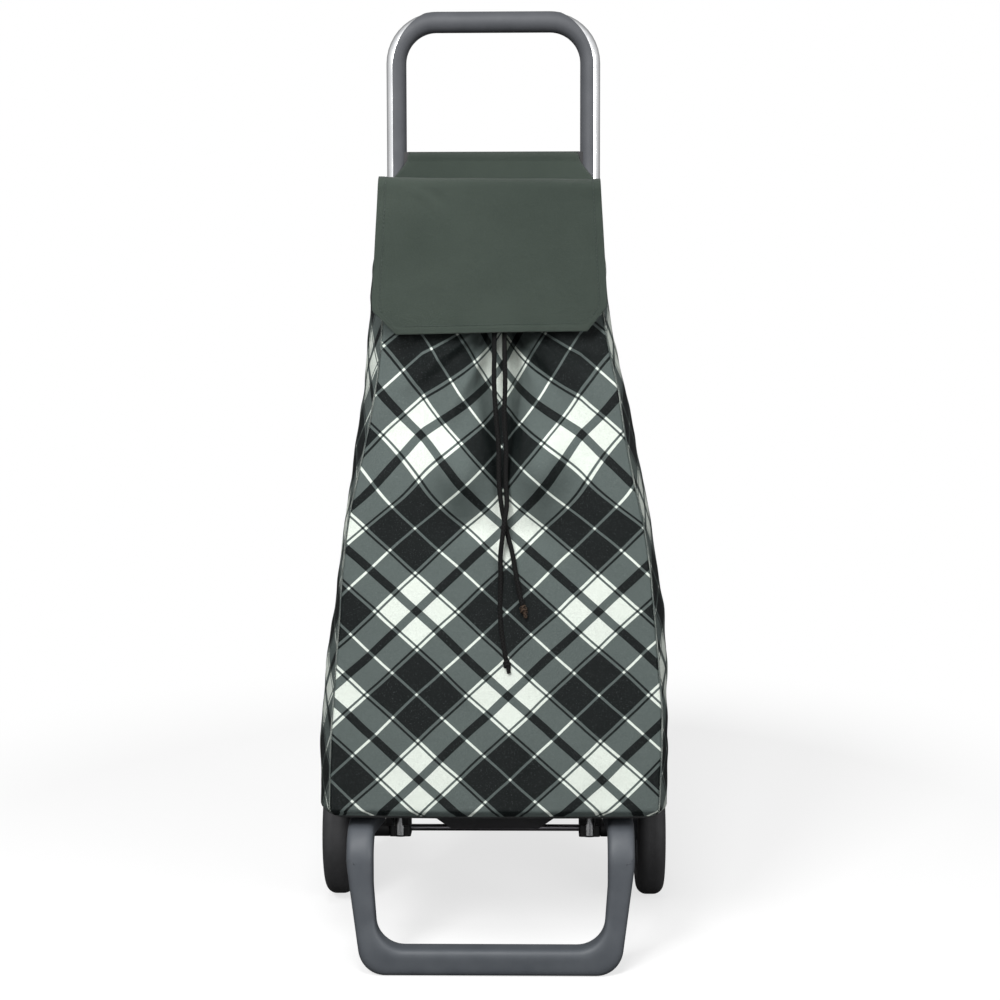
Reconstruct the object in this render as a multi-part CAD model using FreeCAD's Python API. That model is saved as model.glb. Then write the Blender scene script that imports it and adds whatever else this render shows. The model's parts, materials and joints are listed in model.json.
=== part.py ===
"""Two-wheeled folding shopping trolley, built as separate sub-parts.

Units are millimetres. +Z is up, the front faces -Y and +X is to the viewer's right.
The origin is on the floor, under the middle of the overall box.

Two frames are used. World points are (x, y, z). Frame points are (x, forward, up), measured from
a datum on the uprights' centre lines just above the axle: "up" runs along the leaning uprights and
"forward" stands square to them.
"""
import FreeCAD
import Part

import math
import os

V = FreeCAD.Vector

# ---- driving dimensions -------------------------------------------------------------------
OVERALL_HEIGHT = 1025.0
OVERALL_WIDTH = 397.0
WHEEL_RADIUS = 77.0
DATUM_HEIGHT = 82.5             # frame datum above the floor
TYRE_WIDTH = 32.0
LEAN_DEG = 6.13                 # uprights lean back from the vertical
FRONT_REACH = 250.0             # datum to the front face of the foot loop

TUBE_RADIUS = 11.0
TUBE_WALL = 1.5
TUBE_SPACING = 224.0            # between the two upright centre lines
TUBE_BEND = 47.0
TUBE_FOOT = -12.5               # lower end of the tube
GRIP_WALL = 1.0
GRIP_FIT = 0.05
GRIP_LOWER_END = 700.0
GRIP_OPEN_OFFSET = 3.4          # outer strip of tube left bare beyond this distance

AXLE_RADIUS = 4.0
RUNNING_FIT = 0.06
HINGE_FORWARD = 51.2            # foot hinge, in frame points
HINGE_UP = 23.4
HINGE_PIN_RADIUS = 4.0
HINGE_BOSS_RADIUS = 11.0

FABRIC = 2.4
BAG_REAR = 14.5                 # rear face of the back panel, ahead of the tube centres
BAG_FLOOR_REAR_UP = 42.0
BAG_FLOOR_SLOPE = 0.098         # rise of the bag floor per mm forward
BAG_FRONT_BASE = 245.6          # front face: forward = base - taper * up
BAG_FRONT_TAPER = 0.1154
BAG_FRONT_TOP = 626.0           # drawn-down front edge of the mouth
BAG_REAR_TOP = 735.0
PANEL_GAP = 0.5

LID_SEAM = (17.5, 747.0)        # forward, up
LID_FOLD = (170.6, 745.0)
LID_HEM = (190.7, 580.0)
LID_FOLD_RADIUS = 9.0

CORD_DIAMETER = 5.0
CORD_REST = 3.4                 # cord centre line ahead of the bag's front face

# ---- worked-out values --------------------------------------------------------------------
LEAN = math.radians(LEAN_DEG)
GRIP_RADIUS = TUBE_RADIUS + GRIP_WALL
TUBE_X = TUBE_SPACING / 2
HANDLE_UP = (OVERALL_HEIGHT - GRIP_RADIUS - DATUM_HEIGHT) / math.cos(LEAN)
REAR_REACH = HANDLE_UP * math.sin(LEAN) + GRIP_RADIUS
DATUM_Y = (FRONT_REACH - REAR_REACH) / 2
LOOP_FRONT = DATUM_Y - FRONT_REACH
AXLE_UP = (WHEEL_RADIUS - DATUM_HEIGHT) / math.cos(LEAN)
AXLE_Y = DATUM_Y + AXLE_UP * math.sin(LEAN)
AXLE_Z = WHEEL_RADIUS


# ---- helpers ------------------------------------------------------------------------------
def to_world(x, forward, up):
    """World point of a frame point."""
    return V(x,
             DATUM_Y - forward * math.cos(LEAN) + up * math.sin(LEAN),
             DATUM_HEIGHT + forward * math.sin(LEAN) + up * math.cos(LEAN))


def lean(shape):
    """Carry a shape drawn with X = x, Y = -forward, Z = up into the world."""
    turn = FreeCAD.Placement(V(0, DATUM_Y, DATUM_HEIGHT), FreeCAD.Rotation(V(1, 0, 0), -LEAN_DEG))
    copy = shape.copy()
    copy.Placement = turn.multiply(copy.Placement)
    return copy


def box(x0, x1, y0, y1, z0, z1):
    return Part.makeBox(x1 - x0, y1 - y0, z1 - z0, V(x0, y0, z0))


def rod_x(x0, x1, y, z, radius):
    return Part.makeCylinder(radius, x1 - x0, V(x0, y, z), V(1, 0, 0))


def ring_x(x0, x1, y, z, outer, inner):
    return rod_x(x0, x1, y, z, outer).cut(rod_x(x0 - 1, x1 + 1, y, z, inner))


def mirrored(shape):
    return shape.mirror(V(0, 0, 0), V(1, 0, 0))


def rounded_wire(points, radii, closed=True):
    """Straight runs joined by tangent arcs. radii holds one value for each point."""
    count = len(points)
    starts, ends, mids = [], [], []
    for i, (corner, radius) in enumerate(zip(points, radii)):
        if radius == 0 or (not closed and i in (0, count - 1)):
            starts.append(corner)
            ends.append(corner)
            mids.append(None)
            continue
        back = (points[i - 1] - corner).normalize()
        ahead = (points[(i + 1) % count] - corner).normalize()
        half = back.getAngle(ahead) / 2
        starts.append(corner + back * (radius / math.tan(half)))
        ends.append(corner + ahead * (radius / math.tan(half)))
        bisector = (back + ahead).normalize()
        mids.append(corner + bisector * (radius / math.sin(half) - radius))
    edges = []
    for i in range(count):
        if mids[i] is not None:
            edges.append(Part.Arc(starts[i], mids[i], ends[i]).toShape())
        if i == count - 1 and not closed:
            break
        nxt = starts[(i + 1) % count]
        if ends[i].distanceToPoint(nxt) > 1e-6:
            edges.append(Part.LineSegment(ends[i], nxt).toShape())
    return Part.Wire(edges)


def slab(points, radii, direction):
    """Prism on a rounded outline."""
    return Part.Face(rounded_wire(points, radii)).extrude(direction)


def fillet_where(shape, radius, keep):
    """Round the edges that keep(edge) picks."""
    return shape.makeFillet(radius, [edge for edge in shape.Edges if keep(edge)])


def export(name, shape):
    shape.exportStep(os.path.join("parts", name + ".step"))


def export_pair(name, right_shape):
    export(name + "_right", right_shape)
    export(name + "_left", mirrored(right_shape))


# ---- tube frame and grip ------------------------------------------------------------------
def handle_path(foot_up):
    points = [V(-TUBE_X, 0, foot_up), V(-TUBE_X, 0, HANDLE_UP),
              V(TUBE_X, 0, HANDLE_UP), V(TUBE_X, 0, foot_up)]
    return rounded_wire(points, [0, TUBE_BEND, TUBE_BEND, 0], closed=False)


def swept_round(path, radius):
    start = path.OrderedVertexes[0].Point
    profile = Part.Wire([Part.Circle(start, V(0, 0, 1), radius).toShape()])
    return path.makePipeShell([profile], True, False)


SCREW_UPS = (22.0, 41.0)
SCREW_RADIUS = 2.0


def upright_screw_bores(radius):
    bores = [Part.makeCylinder(radius, 8, V(side * TUBE_X, TUBE_RADIUS - 5, up), V(0, 1, 0))
             for side in (-1, 1) for up in SCREW_UPS]
    return Part.makeCompound(bores)


def frame_tube():
    path = handle_path(TUBE_FOOT)
    tube = swept_round(path, TUBE_RADIUS).cut(swept_round(path, TUBE_RADIUS - TUBE_WALL))
    tube = tube.cut(rod_x(-200, 200, 0, AXLE_UP, AXLE_RADIUS + 0.2))
    return tube.cut(upright_screw_bores(SCREW_RADIUS + 0.05))


def grip_window():
    """Outer strip, on the left, where the grip is cut away; it tapers out around the bend."""
    edge_x = -(TUBE_X + GRIP_OPEN_OFFSET)
    sweep_radius = 72.0
    start_up = HANDLE_UP - TUBE_BEND - 6
    centre = V(edge_x + sweep_radius, -30, start_up)
    end_angle = math.radians(62)
    mid_angle = end_angle / 2
    arc_points = [centre + V(-math.cos(a), 0, math.sin(a)) * sweep_radius
                  for a in (0, mid_angle, end_angle)]
    low = V(edge_x, -30, GRIP_LOWER_END - 10)
    far = V(edge_x - 60, -30, GRIP_LOWER_END - 10)
    top = V(edge_x - 60, -30, HANDLE_UP + 40)
    edges = [Part.LineSegment(low, arc_points[0]).toShape(),
             Part.Arc(*arc_points).toShape(),
             Part.LineSegment(arc_points[2], V(arc_points[2].x, -30, top.z)).toShape(),
             Part.LineSegment(V(arc_points[2].x, -30, top.z), top).toShape(),
             Part.LineSegment(top, far).toShape(),
             Part.LineSegment(far, low).toShape()]
    return Part.Face(Part.Wire(edges)).extrude(V(0, 60, 0))


def handle_grip():
    path = handle_path(GRIP_LOWER_END)
    grip = swept_round(path, GRIP_RADIUS).cut(swept_round(path, TUBE_RADIUS + GRIP_FIT))
    window = grip_window()
    return grip.cut([window, mirrored(window)])


def tube_plug():
    flange = Part.makeCylinder(TUBE_RADIUS - 0.2, 2, V(TUBE_X, 0, TUBE_FOOT - 2))
    spigot = Part.makeCylinder(TUBE_RADIUS - TUBE_WALL - 0.05, 2.4, V(TUBE_X, 0, TUBE_FOOT))
    return flange.fuse(spigot)


# ---- sockets, beam and axle ---------------------------------------------------------------
SOCKET_HALF = 12.5              # socket half width across X
SOCKET_DEPTH = 13.0             # half depth of the sleeve
SOCKET_TOP = 52.0
SOCKET_FOOT = -13.5
SOCKET_SLOT = 5.6               # half width of the front slot that shows the tube


def tube_socket():
    sleeve = box(TUBE_X - SOCKET_HALF, TUBE_X + SOCKET_HALF,
                 -SOCKET_DEPTH, SOCKET_DEPTH, SOCKET_FOOT, SOCKET_TOP)
    sleeve = fillet_where(sleeve, 3, lambda e: abs(e.tangentAt(0).z) > 0.9)
    hinge = V(0, -HINGE_FORWARD, HINGE_UP)
    side = V(TUBE_X - SOCKET_HALF, 0, 0)
    lug = slab([side + V(0, 0, -4), side + V(0, 0, 36),
                side + hinge + V(0, -HINGE_BOSS_RADIUS, HINGE_BOSS_RADIUS),
                side + hinge + V(0, -HINGE_BOSS_RADIUS, -HINGE_BOSS_RADIUS)],
               [0, 0, HINGE_BOSS_RADIUS - 0.2, HINGE_BOSS_RADIUS - 0.2], V(2 * SOCKET_HALF, 0, 0))
    body = sleeve.fuse(lug)
    body = body.cut(Part.makeCylinder(TUBE_RADIUS + 0.05, 80, V(TUBE_X, 0, SOCKET_FOOT - 1)))
    slot = box(TUBE_X - SOCKET_SLOT, TUBE_X + SOCKET_SLOT, -80, 0, SOCKET_FOOT - 1, SOCKET_TOP + 1)
    body = body.cut(slot)
    body = body.cut(rod_x(90, 140, 0, AXLE_UP, AXLE_RADIUS + 0.1))
    body = body.cut(rod_x(90, 140, -HINGE_FORWARD, HINGE_UP, HINGE_PIN_RADIUS + 0.02))
    for up in SCREW_UPS:
        body = body.cut(Part.makeCylinder(SCREW_RADIUS + 0.05, 10, V(TUBE_X, 8, up), V(0, 1, 0)))
    return body.removeSplitter()


def socket_screws():
    screws = []
    for side in (-1, 1):
        for up in SCREW_UPS:
            base = V(side * TUBE_X, TUBE_RADIUS - 4, up)
            shank = Part.makeCylinder(SCREW_RADIUS, SOCKET_DEPTH - TUBE_RADIUS + 4, base, V(0, 1, 0))
            head = Part.makeCylinder(4, 2.4, V(side * TUBE_X, SOCKET_DEPTH, up), V(0, 1, 0))
            head = head.makeFillet(1.2, [head.Edges[0] if head.Edges[0].BoundBox.YMax
                                         > SOCKET_DEPTH + 2 else head.Edges[2]])
            cross = box(side * TUBE_X - 2.2, side * TUBE_X + 2.2, SOCKET_DEPTH + 1.6,
                        SOCKET_DEPTH + 3, up - 0.5, up + 0.5)
            cross = cross.fuse(box(side * TUBE_X - 0.5, side * TUBE_X + 0.5, SOCKET_DEPTH + 1.6,
                                   SOCKET_DEPTH + 3, up - 2.2, up + 2.2))
            screws.append(shank.fuse(head).cut(cross))
    return Part.makeCompound(screws)


BEAM_HALF = TUBE_X - SOCKET_HALF
BEAM_LOW = 29.0
BEAM_TOP = 50.0
BEAM_DEPTH = 11.5
WEB_DEPTH = 7.5
WEB_FOOT_HALF = 52.0
WEB_FOOT = -5.0


def axle_beam():
    """Moulded cross beam: a ribbed rail, and a tapered web that sits astride the axle."""
    rail = box(-BEAM_HALF, BEAM_HALF, -BEAM_DEPTH, BEAM_DEPTH, BEAM_LOW, BEAM_TOP)
    rail = fillet_where(rail, 3, lambda e: abs(e.tangentAt(0).x) > 0.9)
    web = slab([V(-BEAM_HALF, -WEB_DEPTH, BEAM_LOW + 4), V(BEAM_HALF, -WEB_DEPTH, BEAM_LOW + 4),
                V(BEAM_HALF, -WEB_DEPTH, BEAM_LOW - 1), V(WEB_FOOT_HALF, -WEB_DEPTH, WEB_FOOT),
                V(-WEB_FOOT_HALF, -WEB_DEPTH, WEB_FOOT), V(-BEAM_HALF, -WEB_DEPTH, BEAM_LOW - 1)],
               [0, 0, 0, 5, 5, 0], V(0, 2 * WEB_DEPTH, 0))
    beam = rail.fuse(web)
    pocket_count = 5
    pitch = 2 * (BEAM_HALF - 6) / pocket_count
    for i in range(pocket_count):
        left = -BEAM_HALF + 6 + i * pitch
        beam = beam.cut(box(left + 2, left + pitch - 2, 4, BEAM_DEPTH + 1, BEAM_LOW + 4, BEAM_TOP - 4))
    web_pockets = 4
    web_pitch = 2 * (WEB_FOOT_HALF - 2) / web_pockets
    for i in range(web_pockets):
        left = -WEB_FOOT_HALF + 2 + i * web_pitch
        beam = beam.cut(box(left + 1.5, left + web_pitch - 1.5, 2.5, WEB_DEPTH + 1, 8, BEAM_LOW - 2))
    beam = beam.cut(rod_x(-BEAM_HALF - 1, BEAM_HALF + 1, 0, AXLE_UP, AXLE_RADIUS + 0.1))
    return beam.removeSplitter()


AXLE_END = 191.0
SPACER_START = TUBE_X + SOCKET_HALF + 0.2
WASHER_START = 161.4
WASHER_THICKNESS = 1.2
HUB_START = 163.2


def axle_rod():
    rod = rod_x(-AXLE_END, AXLE_END, AXLE_Y, AXLE_Z, AXLE_RADIUS)
    return rod.makeChamfer(0.8, [e for e in rod.Edges if e.Length < 8 * AXLE_RADIUS])


def axle_spacer():
    spacer = ring_x(SPACER_START, WASHER_START - 0.2, AXLE_Y, AXLE_Z, 10.5, AXLE_RADIUS + 0.1)
    return fillet_where(spacer, 1.5, lambda e: e.Length > 60 and e.BoundBox.XLength < 0.1)


def axle_washers():
    washer = ring_x(WASHER_START, WASHER_START + WASHER_THICKNESS, AXLE_Y, AXLE_Z, 9,
                    AXLE_RADIUS + 0.05)
    return Part.makeCompound([washer, mirrored(washer)])


def hinge_pin():
    start, seat, end = TUBE_X - SOCKET_HALF - 1.5, LOOP_HALF_WIDTH + 0.3, LOOP_HALF_WIDTH + 3.3
    pin = rod_x(start, end - 1, -HINGE_FORWARD, HINGE_UP, HINGE_PIN_RADIUS)
    head = rod_x(seat, end, -HINGE_FORWARD, HINGE_UP, 7)
    head = fillet_where(head, 1.2, lambda e: e.BoundBox.XMin > end - 0.3)
    return lean(pin.fuse(head))


# ---- hanger bar that carries the bag's top ------------------------------------------------
HANGER_UP = 779.0
HANGER_RADIUS = 5.0


def hanger_bar():
    inner = TUBE_X - GRIP_RADIUS
    bar = rod_x(-inner - 3, inner + 3, 0, HANGER_UP, HANGER_RADIUS)
    for side in (-1, 1):
        saddle = box(side * (inner + 1) - 4, side * (inner + 1) + 4, -8, 8, HANGER_UP - 9, HANGER_UP + 9)
        bar = bar.fuse(saddle)
        bar = bar.cut(Part.makeCylinder(GRIP_RADIUS + 0.1, 60, V(side * TUBE_X, 0, HANGER_UP - 30)))
        bar = bar.cut(rod_x(side * inner - 12, side * inner + 12, 0, HANGER_UP, SCREW_RADIUS + 0.05))
    return bar.removeSplitter()


# ---- bag ----------------------------------------------------------------------------------
# up the frame, half width of the front panel, widest half width, rear half width
BAG_LEVELS = (
    (64, 163, 189, 143),
    (150, 166, 191, 163),
    (335, 158, 173, 152),
    (475, 130, 151, 134),
    (600, 110, 131, 120),
    (735, 106, 122, 118),
)
BAG_REAR_FACE = BAG_REAR + FABRIC + PANEL_GAP


def front_forward(up):
    """Forward position of the bag's front face."""
    return BAG_FRONT_BASE - BAG_FRONT_TAPER * up


def level_at(up):
    """Half widths at a height, by straight lines between the levels."""
    for low, high in zip(BAG_LEVELS, BAG_LEVELS[1:]):
        if up <= high[0] or high is BAG_LEVELS[-1]:
            share = (up - low[0]) / (high[0] - low[0])
            return [a + share * (b - a) for a, b in zip(low[1:], high[1:])]


def heights(top):
    return [row[0] for row in BAG_LEVELS if row[0] < top - 1] + [top]


def front_panel():
    sections = []
    for up in heights(BAG_FRONT_TOP):
        half = level_at(up)[0] - PANEL_GAP - FABRIC
        bulge = 4.0
        outer = -front_forward(up)
        points = [V(-half, outer + bulge, up), V(0, outer, up), V(half, outer + bulge, up)]
        shift = V(0, FABRIC, 0)
        front = Part.Arc(*points).toShape()
        back = Part.Arc(*[p + shift for p in reversed(points)]).toShape()
        ends = [Part.LineSegment(points[2], points[2] + shift).toShape(),
                Part.LineSegment(points[0] + shift, points[0]).toShape()]
        sections.append(Part.Wire([front, ends[0], back, ends[1]]))
    return Part.makeLoft(sections, True, True)


def side_panel():
    """Right side panel: leaves the front corner, bulges and runs back to the rear corner."""
    sections = []
    for up in heights(BAG_REAR_TOP):
        front_half, widest, rear_half = level_at(up)
        nose = front_forward(up) - 4.0
        belly = BAG_REAR_FACE + 0.52 * (nose - BAG_REAR_FACE)
        outline = [(front_half, nose), ((front_half + 2 * widest) / 3 + 1, (nose + belly) / 2 + 6),
                   (widest, belly), ((widest + rear_half) / 2 + 4, (belly + BAG_REAR_FACE) / 2),
                   (rear_half, BAG_REAR_FACE)]
        outer = [V(x, -forward, up) for x, forward in outline]
        inner = [p - V(FABRIC, 0, 0) for p in reversed(outer)]
        curves = []
        for run in (outer, inner):
            spline = Part.BSplineCurve()
            spline.interpolate(run)
            curves.append(spline.toShape())
        sections.append(Part.Wire([curves[0], Part.LineSegment(outer[-1], inner[0]).toShape(),
                                   curves[1], Part.LineSegment(inner[-1], outer[0]).toShape()]))
    panel = Part.makeLoft(sections, True, True)
    # the mouth slopes down to the front, where the drawstring pulls it
    slope = [V(0, -BAG_REAR_FACE + 1, BAG_REAR_TOP), V(0, -BAG_REAR_FACE + 1, BAG_REAR_TOP + 60),
             V(0, -260, BAG_REAR_TOP + 60), V(0, -260, BAG_FRONT_TOP - 10), V(0, -166, BAG_FRONT_TOP)]
    return panel.cut(slab(slope, [0] * 5, V(250, 0, 0)))


def bag_floor(low, thickness, front_margin, side_margin):
    """Plate on the bag's sloping floor; the rear corners stay inside the wheels."""
    front = front_forward(BAG_LEVELS[0][0] + 4) - FABRIC - front_margin
    rear = BAG_REAR_FACE + 1
    half_front = BAG_LEVELS[0][1] - side_margin
    half_belly = BAG_LEVELS[0][2] - side_margin - 4
    half_rear = BAG_LEVELS[0][3] - side_margin
    belly = BAG_REAR_FACE + 0.52 * (front - BAG_REAR_FACE)

    def point(x, forward):
        return V(x, -forward, BAG_FLOOR_REAR_UP + low + BAG_FLOOR_SLOPE * (forward - BAG_REAR))

    outline = [point(-half_rear, rear), point(half_rear, rear), point(half_belly, belly),
               point(half_front, front), point(-half_front, front), point(-half_belly, belly)]
    return slab(outline, [6, 6, 30, 10, 10, 30], V(0, 0, thickness))


def back_panel():
    """Stiff rear panel; its top leans back between the uprights, over the hanger bar."""
    sections = []
    for up, half in ((43, 141), (150, 161), (335, 150), (600, 118), (742, 119)):
        corners = [V(-half, -BAG_REAR, up), V(half, -BAG_REAR, up),
                   V(half, -BAG_REAR - FABRIC, up), V(-half, -BAG_REAR - FABRIC, up)]
        sections.append(Part.makePolygon(corners + corners[:1]))
    plate = Part.makeLoft(sections, True, True)
    half_top = TUBE_X - GRIP_RADIUS - 1.2
    over = HANGER_RADIUS + 0.3
    profile = [V(-half_top, -BAG_REAR, 741), V(-half_top, -BAG_REAR - FABRIC, 741),
               V(-half_top, -over - FABRIC, HANGER_UP - 2),
               V(-half_top, -over - FABRIC, HANGER_UP + over + FABRIC),
               V(-half_top, over + FABRIC, HANGER_UP + over + FABRIC),
               V(-half_top, over + FABRIC, HANGER_UP - 8), V(-half_top, over, HANGER_UP - 8),
               V(-half_top, over, HANGER_UP + over), V(-half_top, -over, HANGER_UP + over),
               V(-half_top, -over, HANGER_UP - 2)]
    sleeve = slab(profile, [0, 0, 0, over, over, 0, 0, 2, 2, 0], V(2 * half_top, 0, 0))
    for side in (-1, 1):
        sleeve = sleeve.cut(box(min(side * 93.5, side * 100), max(side * 93.5, side * 100),
                                -9, 9, HANGER_UP - 10, HANGER_UP + 20))
    return plate.fuse(sleeve).removeSplitter()


CASING_HEIGHT = 22.0
CASING_THICKNESS = 3.0


def mouth_casing():
    """Hem across the front of the mouth that the drawstring runs in."""
    sections = []
    for up in (BAG_FRONT_TOP - CASING_HEIGHT, BAG_FRONT_TOP):
        half = level_at(up)[0] - 4
        outer = -front_forward(up) - CASING_THICKNESS
        crown = [V(-half, outer + 3.4, up), V(0, outer - 0.5, up), V(half, outer + 3.4, up)]
        seat = [p + V(0, CASING_THICKNESS, 0) for p in crown]
        sections.append(Part.Wire([Part.Arc(*crown).toShape(),
                                   Part.LineSegment(crown[2], seat[2]).toShape(),
                                   Part.Arc(*reversed(seat)).toShape(),
                                   Part.LineSegment(seat[0], crown[0]).toShape()]))
    return Part.makeLoft(sections, True, True)


STRAP_UPS = (210.0, 430.0, 640.0)
STRAP_WIDTH = 25.0


def strap_loops():
    """Four fabric loops that tie the back panel to the uprights."""
    loops = []
    for side in (-1, 1):
        for up in STRAP_UPS:
            x = side * TUBE_X
            radius = (GRIP_RADIUS if up > GRIP_LOWER_END else TUBE_RADIUS) + 0.3
            loop = Part.makeCylinder(radius + 1.6, STRAP_WIDTH, V(x, 0, up))
            loop = loop.fuse(box(x - 8, x + 8, -BAG_REAR + 0.1, 0, up, up + STRAP_WIDTH))
            loop = loop.cut(Part.makeCylinder(radius, STRAP_WIDTH + 2, V(x, 0, up - 1)))
            loops.append(loop)
    return Part.makeCompound(loops)


def strap_snaps():
    snaps = []
    for side in (-1, 1):
        for up in STRAP_UPS:
            x = side * (TUBE_X + TUBE_RADIUS + 1.9)
            direction = V(side, 0, 0)
            centre = V(x, 0, up + STRAP_WIDTH / 2)
            snaps.append(Part.makeCone(5.5, 3.5, 2.2, centre, direction))
    return Part.makeCompound(snaps)


# ---- drawstring ---------------------------------------------------------------------------
# x, lift off the resting line, up the frame; chosen by hand, top to bottom
LEFT_START_ROUTE = ((4.3, 0.0, 598), (4.6, 0.0, 566), (3.8, 0.0, 527), (6.2, 0.0, 490),
                    (9.6, 0.0, 456), (9.0, 0.0, 424), (11.4, 0.0, 398), (17.2, 0.0, 370),
                    (23.4, 0.0, 348), (27.0, 0.2, 326), (30.6, 1.6, 306), (34.6, 2.0, 290))
RIGHT_START_ROUTE = ((15.5, 0.0, 598), (15.0, 0.0, 566), (16.4, 0.0, 527), (14.6, 0.0, 490),
                     (17.6, 0.0, 456), (16.4, 0.6, 424), (18.4, 5.0, 397), (15.6, 8.2, 381),
                     (13.2, 8.0, 362), (10.6, 3.4, 343), (11.6, 0.0, 318), (10.0, 0.0, 286),
                     (12.6, 1.4, 255), (17.2, 2.0, 232))


def cord_point(x, lift, up):
    return to_world(x, front_forward(up) + CORD_REST + lift, up)


def cord_tube(name, route):
    """Round tube on straight runs joined by arcs as large as the runs allow."""
    points = [cord_point(*row) for row in route]
    radii = [0]
    for before, here, after in zip(points, points[1:], points[2:]):
        shorter = min(here.distanceToPoint(before), here.distanceToPoint(after))
        turn = (here - before).getAngle(after - here)
        radii.append(0.45 * shorter / math.tan(turn / 2))
    radii.append(0)
    path = rounded_wire(points, radii, closed=False)
    direction = points[1] - points[0]
    profile = Part.Wire([Part.Circle(points[0], direction, CORD_DIAMETER / 2).toShape()])
    tube = path.makePipeShell([profile], True, False)
    section = math.pi * (CORD_DIAMETER / 2) ** 2
    print("%s: length %.1f, smallest radius %.1f, volume share %.4f"
          % (name, path.Length, min(radii[1:-1]), tube.Volume / (section * path.Length)))
    return tube


KNOT_RADIUS = 5.0
KNOT_LENGTH = 9.5


def cord_knot(route):
    """Pulled-tight stopper knot at a cord's lower end."""
    last, end = [cord_point(*row) for row in route[-2:]]
    direction = (end - last).normalize()
    knot = Part.makeCylinder(KNOT_RADIUS, KNOT_LENGTH, end, direction)
    knot = knot.makeFillet(2.2, [e for e in knot.Edges if e.Length > 20 and e.Closed])
    tail = Part.makeCylinder(CORD_DIAMETER / 2, 5, end + direction * (KNOT_LENGTH - 0.5), direction)
    return knot.fuse(tail)


def cord_grommet():
    """Small moulded guide under the casing; both cords leave it pointing down."""
    top = BAG_FRONT_TOP - CASING_HEIGHT - 0.3
    low = 598.8
    mid_x = (LEFT_START_ROUTE[0][0] + RIGHT_START_ROUTE[0][0]) / 2
    seat = -front_forward(low) - 0.8
    block = box(mid_x - 11, mid_x + 11, seat - 6, seat, low, top)
    return fillet_where(block, 1.5, lambda e: abs(e.tangentAt(0).z) > 0.9)


# ---- lid ----------------------------------------------------------------------------------
def lid_section(thickness, x_half):
    """L-shaped fabric section: over the mouth, round the fold and down the front."""
    half = thickness / 2
    seam, fold, hem = [V(-x_half, -forward, up) for forward, up in (LID_SEAM, LID_FOLD, LID_HEM)]
    down = (hem - fold).normalize()
    out = V(0, down.z, -down.y) * half
    upward = V(0, 0, half)
    outline = [seam + upward, fold + upward + out, hem + out, hem - out, fold - upward - out,
               seam - upward]
    return slab(outline, [0, LID_FOLD_RADIUS + half, 0, 0, LID_FOLD_RADIUS - half, 0],
                V(2 * x_half, 0, 0))


def lid_outline(inset):
    """Front view of the lid, as a prism; the lower corners are cut off."""
    half_top, half_wide, half_hem = 119 - inset, 127 - inset, 104 - 0.6 * inset
    low = LID_HEM[1] + inset * 1.05
    right = [V(half_top, 30, LID_SEAM[1] + 20), V(half_wide, 30, 612), V(half_wide - 2, 30, 601),
             V(half_hem, 30, low - 2)]
    left = [V(-p.x, p.y, p.z) for p in reversed(right)]
    return slab(right + left, [0, 8, 6, 3, 3, 6, 8, 0], V(0, -260, 0))


HEM_BAND = 7.0


def lid_flap():
    return lid_section(FABRIC, 140).common(lid_outline(HEM_BAND))


def lid_binding():
    band = lid_section(FABRIC + 1.0, 140).common(lid_outline(0)).cut(lid_outline(HEM_BAND))
    return band


# ---- foot loop ----------------------------------------------------------------------------
LOOP_HALF_THICKNESS = 11.0
BAR_HEIGHT = 30.0
BAR_DEPTH = 26.0
LOOP_HALF_WIDTH = 154.7         # outer half width of the arms and the upper legs
LOOP_INNER_HALF = 125.7
LOOP_TOE_HALF = 139.2           # half widths where the legs meet the floor bar
LOOP_TOE_INNER = 121.0


def foot_side_profile():
    """Side view: hinge boss, arm rising under the bag, elbow, leg down to the floor bar."""
    hinge = to_world(0, HINGE_FORWARD, HINGE_UP)
    front = LOOP_FRONT
    elbow = V(0, front + 30.5, 155.5)
    toe = V(0, front + 12.5, 14)
    spine = rounded_wire([hinge, elbow, toe], [0, 30, 0], closed=False)
    strip = spine.makeOffset2D(LOOP_HALF_THICKNESS, 0, True, False, False)
    bar = slab([V(0, front, 0), V(0, front + BAR_DEPTH, 0), V(0, front + BAR_DEPTH, BAR_HEIGHT),
                V(0, front, BAR_HEIGHT)], [4, 4, 9, 7], V(320, 0, 0))
    return strip.extrude(V(320, 0, 0)).fuse(bar)


def foot_front_outline():
    """Front view: a U with tapered legs and rounded corners."""
    top, outer_bend, inner_bend = 190.0, 122.0, 84.0
    outer = [V(LOOP_HALF_WIDTH, 0, top), V(LOOP_HALF_WIDTH, 0, outer_bend), V(LOOP_TOE_HALF, 0, 0)]
    inner = [V(LOOP_TOE_INNER, 0, BAR_HEIGHT), V(LOOP_INNER_HALF, 0, inner_bend),
             V(LOOP_INNER_HALF, 0, top)]
    half = outer + [V(-p.x, 0, p.z) for p in reversed(outer)]
    hollow = [V(-p.x, 0, p.z) for p in reversed(inner)] + inner
    radii = [0, 250, 25, 25, 250, 0] + [0, 200, 27, 27, 200, 0]
    return slab(half + hollow, radii, V(0, 400, 0))


def foot_loop():
    side = foot_side_profile()
    side.translate(V(-160, 0, 0))
    front = foot_front_outline()
    front.translate(V(0, LOOP_FRONT - 20, 0))
    loop = side.common(front)
    hinge = to_world(0, HINGE_FORWARD, HINGE_UP)
    bore = rod_x(-200, 200, hinge.y, hinge.z, HINGE_PIN_RADIUS + RUNNING_FIT)
    return loop.cut(bore).removeSplitter()


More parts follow.
